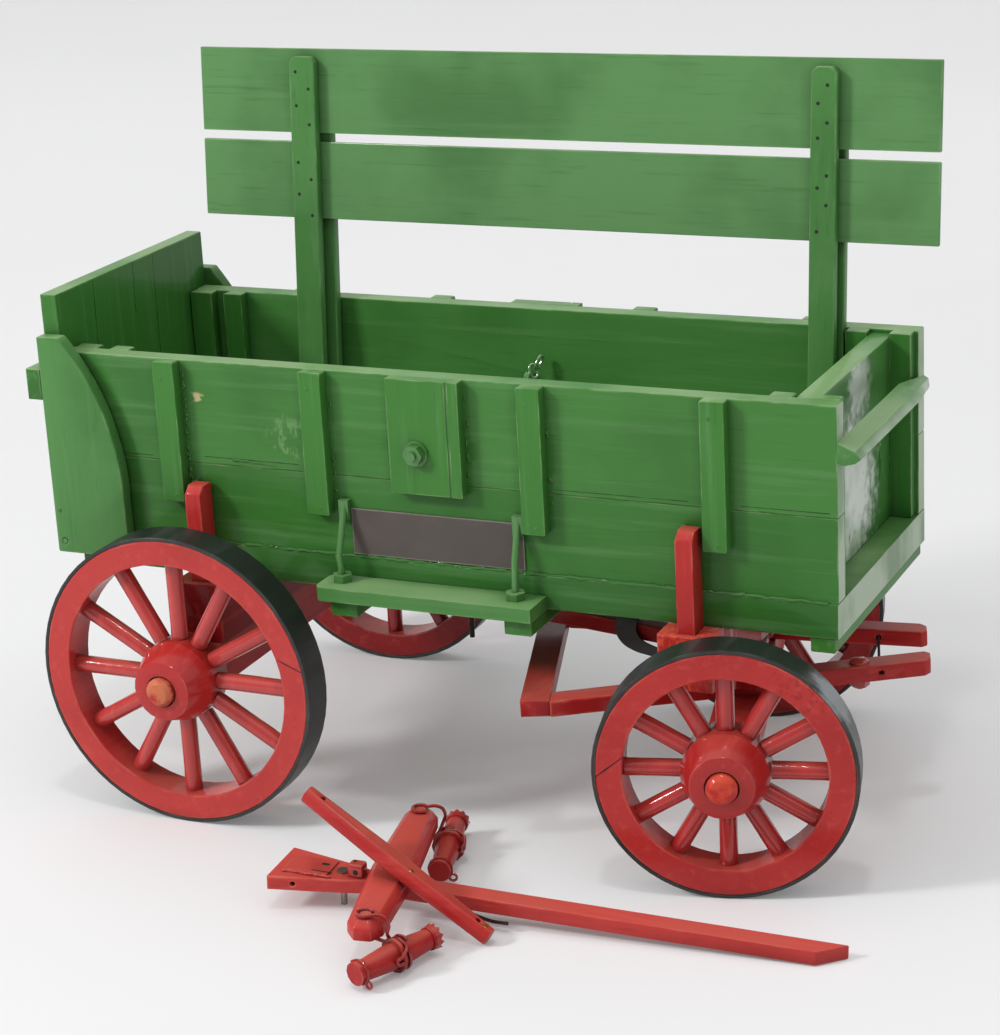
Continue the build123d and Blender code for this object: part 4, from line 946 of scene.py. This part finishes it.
class WAGON_OT_wire_singletrees(bpy.types.Operator):
    """Tie the singletrees to the doubletree with wire, and add their tin ends"""
    bl_idname = "wagon.wire_singletrees"
    bl_label = "Wire the singletrees"

    WIRE_R = 0.95
    PIN_V = 59.0          # pins along the doubletree
    RING_R = 4.2          # wire about a pin's head
    WRAP_R = 7.85         # wire about a stick
    FERRULE_R = 6.0
    # Places that a wire's loose end runs through, in a stick's own frame
    STUB = ((5.4, 3.4, 5.8), (8.4, 0.6, 5.6), (9.2, -3.0, 3.2), (7.6, -5.0, 1.2), (7.4, -3.4, -1.4),
            (8.4, -0.8, -1.0))

    def execute(self, context):
        reds = context.scene.wagon_paint.reds()
        wire_red = brushed("red_wire", toned(reds, -0.8), "z", (9.1, 0, 0), coat=1.0, dust_and_sheen=0.2, wear=0)
        tin_red = brushed("red_tin", toned(reds, -0.5), "y", (9.7, 0, 0), coat=1.0, dust_and_sheen=0.2, wear=0.3)
        for side, stick, half, end in SINGLETREES:
            wires = bmesh.new()
            bent_wire(wires, self.tie_path(stick, end), self.WIRE_R)
            stub = [spot(stick, *point) for point in self.STUB]
            bent_wire(wires, smooth_run(stub, 4), 0.8)
            finish_piece(side + "_tie_wires", side + "_singletree", wires, wire_red)
            tin = bmesh.new()
            self.crown(tin, stick, half)
            self.rolled_end(tin, stick, 3.0 - half)
            finish_piece(side + "_tin_ends", side + "_singletree", tin, tin_red)
        return {"FINISHED"}

    def tie_path(self, stick, end):
        """A wire about a pin's head, over the doubletree's side and round the stick."""
        turns = [spot(DOUBLETREE, self.RING_R * cos(a), end * (self.PIN_V + self.RING_R * sin(a)),
                      TREE_TOP + 1.05 + 0.06 * i)
                 for i, a in enumerate(radians(320 - 40 * i) for i in range(8))]
        # Columns: across the doubletree, beyond the pin, below the doubletree's top
        over = [spot(DOUBLETREE, x, end * (self.PIN_V + y), TREE_TOP - drop)
                for x, y, drop in ((7.2, 2.6, -2.2), (11.0, 3.0, -0.8), (12.4, 3.4, 3.0), (11.6, 4.0, 6.4))]
        wrap = [spot(stick, self.WRAP_R * sin(a), 2.6 + 1.6 * a / pi, self.WRAP_R * cos(a))
                for a in (radians(30 * i - 40) for i in range(15))]
        return smooth_run(turns + over + wrap, 3)

    def crown(self, mesh, stick, half):
        """A tin sleeve at a stick's end, its rim cut into small teeth."""
        here = stick @ Matrix.Translation((0, (half - 1.4) * MM, 0)) @ Matrix.Rotation(-pi / 2, 4, "X")
        made = bmesh.ops.create_cone(mesh, cap_ends=False, segments=22, radius1=(self.FERRULE_R + 0.1) * MM,
                                     radius2=(self.FERRULE_R + 0.3) * MM, depth=3.0 * MM, matrix=here)
        back = here.inverted()
        rim = [vert for vert in made["verts"] if (back @ vert.co).z > 0]
        rim.sort(key=lambda vert: (back @ vert.co).to_2d().angle_signed(Vector((1, 0))))
        for i, vert in enumerate(rim):
            local = back @ vert.co
            grow, lift = (1.07, 1.0) if i % 2 else (0.99, -0.5)
            vert.co = here @ Vector((local.x * grow, local.y * grow, local.z + lift * MM))
        faces = list({face for vert in made["verts"] for face in vert.link_faces})
        bmesh.ops.solidify(mesh, geom=faces, thickness=0.3 * MM)

    def rolled_end(self, mesh, stick, end_y):
        """A crumpled tin rim at a stick's end, with a small eye on it."""
        chance = random.Random(5)
        round_turn = [2 * pi * i / 16 for i in range(16)]
        rim_r = self.FERRULE_R + 0.2
        rim = [spot(stick, rim_r * cos(a), end_y + chance.uniform(-0.5, 0.5), rim_r * sin(a))
               for a in round_turn]
        bent_wire(mesh, rim, 0.75, closed=True, swell=[chance.uniform(0.6, 1.3) for _ in rim])
        eye = [spot(stick, 6.4 + 1.9 * cos(a), end_y, -4.6 + 1.9 * sin(a)) for a in round_turn]
        bent_wire(mesh, eye, 0.7, closed=True)


class WAGON_OT_dress_front_gear(bpy.types.Operator):
    """Add the bolt and pin of the hounds, the reach's peg and the rubber strip about the reach"""
    bl_idname = "wagon.dress_front_gear"
    bl_label = "Dress the front gear"

    HOUND_TOP = 9.0
    # Rubber strip, columns: place across the wagon, then X and Z of its outer and its inner edge
    STRIP = ((1.0, 314.3, 105.6, 319.3, 99.8), (-6.5, 307.3, 103.1, 315.2, 98.2),
             (-9.5, 302.3, 95.7, 313.9, 93.5), (-9.5, 302.6, 88.7, 315.4, 89.0),
             (-9.5, 306.5, 83.4, 318.8, 85.9), (-9.0, 312.8, 80.0, 323.9, 83.6),
             (-8.5, 319.1, 78.4, 328.5, 81.8), (-8.0, 329.4, 76.7, 334.1, 79.5))
    STRIP_THICK = 1.2

    def execute(self, context):
        paint = context.scene.wagon_paint
        red = brushed("red_bolts", toned(paint.reds(), -0.3), "z", (10.3, 0, 0), coat=1.0, dust_and_sheen=0.2)
        steel = bare_metal("peg_steel", srgb(46, 42, 40), srgb(60, 40, 32))
        upward = HOUNDS.to_3x3() @ Vector(UP)
        bolt = bmesh.new()
        x, y = 58.7, -28.0
        stud(bolt, spot(HOUNDS, x, y, self.HOUND_TOP), upward, 5.4, 1.2, 0.95, 14)
        stud(bolt, spot(HOUNDS, x, y, self.HOUND_TOP + 1.2), upward, 5.1, 1.4, 0.6, 14)
        stud(bolt, spot(HOUNDS, x, y, 0), -upward, 5.4, 3.6, 0.95, 6)
        stud(bolt, spot(HOUNDS, x, y, -3.6), -upward, 2.0, 1.6)
        finish_piece("hound_bolt", "front_gear", bolt, red)

        pin = bmesh.new()
        bent_wire(pin, [spot(HOUNDS, 70.0, 18.3, z) for z in (6.0, 4.5, 0.0, -6.5)], 0.75)
        finish_piece("hound_pin", "front_gear", pin, steel)

        peg = bmesh.new()
        stud(peg, at(211.0, 0, 94.8), (0, 0, -1), 1.7, 21.0, 0.85)
        finish_piece("reach_peg", "root", peg, steel)

        strip = bmesh.new()
        edges = []
        for column in (1, 3):
            path = smooth_run([at(row[column], row[0], row[column + 1]) for row in self.STRIP], 6)
            verts = [strip.verts.new(place) for place in path]
            edges += [strip.edges.new(pair) for pair in zip(verts, verts[1:])]
        bmesh.ops.bridge_loops(strip, edges=edges)
        bmesh.ops.recalc_face_normals(strip, faces=strip.faces[:])
        bmesh.ops.solidify(strip, geom=strip.faces[:], thickness=self.STRIP_THICK * MM)
        finish_piece("rubber_strip", "root", strip, tyre_band("strip_black", paint))
        return {"FINISHED"}


class WAGON_OT_stage(bpy.types.Operator):
    """Set the floor, the light and the camera"""
    bl_idname = "wagon.stage"
    bl_label = "Set the stage"

    def execute(self, context):
        scene, stage = context.scene, context.scene.wagon_stage
        scene.view_settings.view_transform = "Standard"
        self.make_floor(scene, stage)
        self.make_sky(scene, stage)
        middle = (CAD_LOW + CAD_HIGH) / 2
        # Columns: name, place from the middle in metres, size, power
        for name, place, size, power in (("key", Vector((-2.4, -2.0, 2.0)), 0.7, stage.key),
                                         ("front", Vector((1.9, -0.5, 1.0)), 1.2, stage.front),
                                         ("overhead", Vector((0.3, -0.7, 2.4)), 0.25, stage.overhead)):
            light = bpy.data.lights.new(name, "AREA")
            light.shape = "DISK"
            light.size = size
            light.energy = power
            lamp = bpy.data.objects.new(name, light)
            lamp.matrix_world = facing_matrix(middle + place, place)
            scene.collection.objects.link(lamp)
        self.place_camera(scene, stage)
        return {"FINISHED"}

    def make_sky(self, scene, stage):
        """Light from all round, stronger overhead, as under a ceiling of lamps."""
        world = bpy.data.worlds.new("studio")
        world.use_nodes = True
        tree = world.node_tree
        place = tree.nodes.new("ShaderNodeTexCoord")
        parts = tree.nodes.new("ShaderNodeSeparateXYZ")
        rise = tree.nodes.new("ShaderNodeMapRange")
        rise.interpolation_type = "SMOOTHSTEP"
        # Columns: socket, value; heights are sines of the angle above the horizon
        levels = (("From Min", 0.5), ("From Max", 0.82), ("To Min", stage.sky), ("To Max", stage.ceiling))
        for socket, value in levels:
            rise.inputs[socket].default_value = value
        tree.links.new(place.outputs["Generated"], parts.inputs[0])
        tree.links.new(parts.outputs["Z"], rise.inputs["Value"])
        background = tree.nodes["Background"]
        background.inputs["Color"].default_value = (1, 1, 1, 1)
        tree.links.new(rise.outputs["Result"], background.inputs["Strength"])
        scene.world = world

    def make_floor(self, scene, stage):
        """A floor that curves up into a backdrop."""
        half, back, bend = 5.0, 3.2, 1.2
        mesh = bmesh.new()
        edge = [mesh.edges.new([mesh.verts.new((x, -half, 0)) for x in (-half, half)])]
        edge = self.sweep(mesh, edge, (0, half + back, 0))
        made = bmesh.ops.spin(mesh, geom=edge, cent=(0, back, bend), axis=(1, 0, 0), angle=pi / 2, steps=24)
        edge = [item for item in made["geom_last"] if isinstance(item, bmesh.types.BMEdge)]
        self.sweep(mesh, edge, (0, 0, 4.0))
        data = bpy.data.meshes.new("floor")
        for face in mesh.faces:
            face.smooth = True
        mesh.to_mesh(data)
        mesh.free()
        floor = bpy.data.objects.new("floor", data)
        scene.collection.objects.link(floor)
        finish = Finish("pale_floor", 0.75)
        cloud = finish.noise(1.6, detail=3.0)
        finish.colour(finish.mix(finish.span(cloud, 0.35, 0.7, 0.5), tuple(stage.floor), srgb(213, 213, 214)))
        rays = finish.tree.nodes.new("ShaderNodeLightPath")
        seen = finish.math("ADD", rays.outputs["Is Camera Ray"], rays.outputs["Is Glossy Ray"])
        seen = finish.math("ADD", seen, rays.outputs["Is Transmission Ray"])
        finish.put(finish.shader.inputs["Emission Color"], (1.0, 1.0, 1.0))
        glow = finish.math("ADD", stage.lift, finish.span(finish.along((0, 1, 0)), 0.3, 2.2, stage.back_lift))
        finish.put(finish.shader.inputs["Emission Strength"], finish.both(seen, glow))
        data.materials.append(finish.material)

    def sweep(self, mesh, edges, shift):
        verts, edges = extruded_ring(mesh, edges)
        bmesh.ops.translate(mesh, vec=shift, verts=verts)
        return edges

    def place_camera(self, scene, stage):
        """The photograph's view: its turn, height and roll, and the eye's place in the wagon's frame."""
        turn, rise, roll = radians(25.06), radians(18.56), radians(-3.13)
        eye = at(827.81, -1274.03, 618.73)
        back = Vector((sin(turn) * cos(rise), -cos(turn) * cos(rise), sin(rise)))
        level = Vector((cos(turn), sin(turn), 0))
        upright = level.cross(-back)
        right = level * cos(roll) + upright * sin(roll)
        up = upright * cos(roll) - level * sin(roll)
        data = bpy.data.cameras.new("photograph")
        data.lens = stage.lens
        data.sensor_fit = "HORIZONTAL"
        camera = bpy.data.objects.new("photograph", data)
        camera.matrix_world = Matrix.Translation(eye) @ Matrix((right, up, back)).transposed().to_4x4()
        scene.collection.objects.link(camera)
        scene.camera = camera


class WAGON_PT_panel(bpy.types.Panel):
    """The wagon's dressing, one button for each group of pieces"""
    bl_idname = "WAGON_PT_panel"
    bl_label = "Box wagon"
    bl_space_type = "VIEW_3D"
    bl_region_type = "UI"
    bl_category = "Wagon"

    def draw(self, context):
        for operator in OPERATORS:
            self.layout.operator(operator.bl_idname)


OPERATORS = (WAGON_OT_paint_box, WAGON_OT_paint_gear, WAGON_OT_dress_hardware, WAGON_OT_hang_chain,
             WAGON_OT_drive_nails, WAGON_OT_run_paint, WAGON_OT_dress_tongue, WAGON_OT_wire_singletrees,
             WAGON_OT_dress_front_gear, WAGON_OT_stage)
CLASSES = (WagonPaint, WagonStage, *OPERATORS, WAGON_PT_panel)


def register():
    for item in CLASSES:
        bpy.utils.register_class(item)
    bpy.types.Scene.wagon_paint = PointerProperty(type=WagonPaint)
    bpy.types.Scene.wagon_stage = PointerProperty(type=WagonStage)


def unregister():
    del bpy.types.Scene.wagon_stage
    del bpy.types.Scene.wagon_paint
    for item in reversed(CLASSES):
        bpy.utils.unregister_class(item)


def main():
    register()
    for operator in OPERATORS:
        group, name = operator.bl_idname.split(".")
        getattr(getattr(bpy.ops, group), name)()
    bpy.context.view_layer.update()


if __name__ == "__main__":
    main()
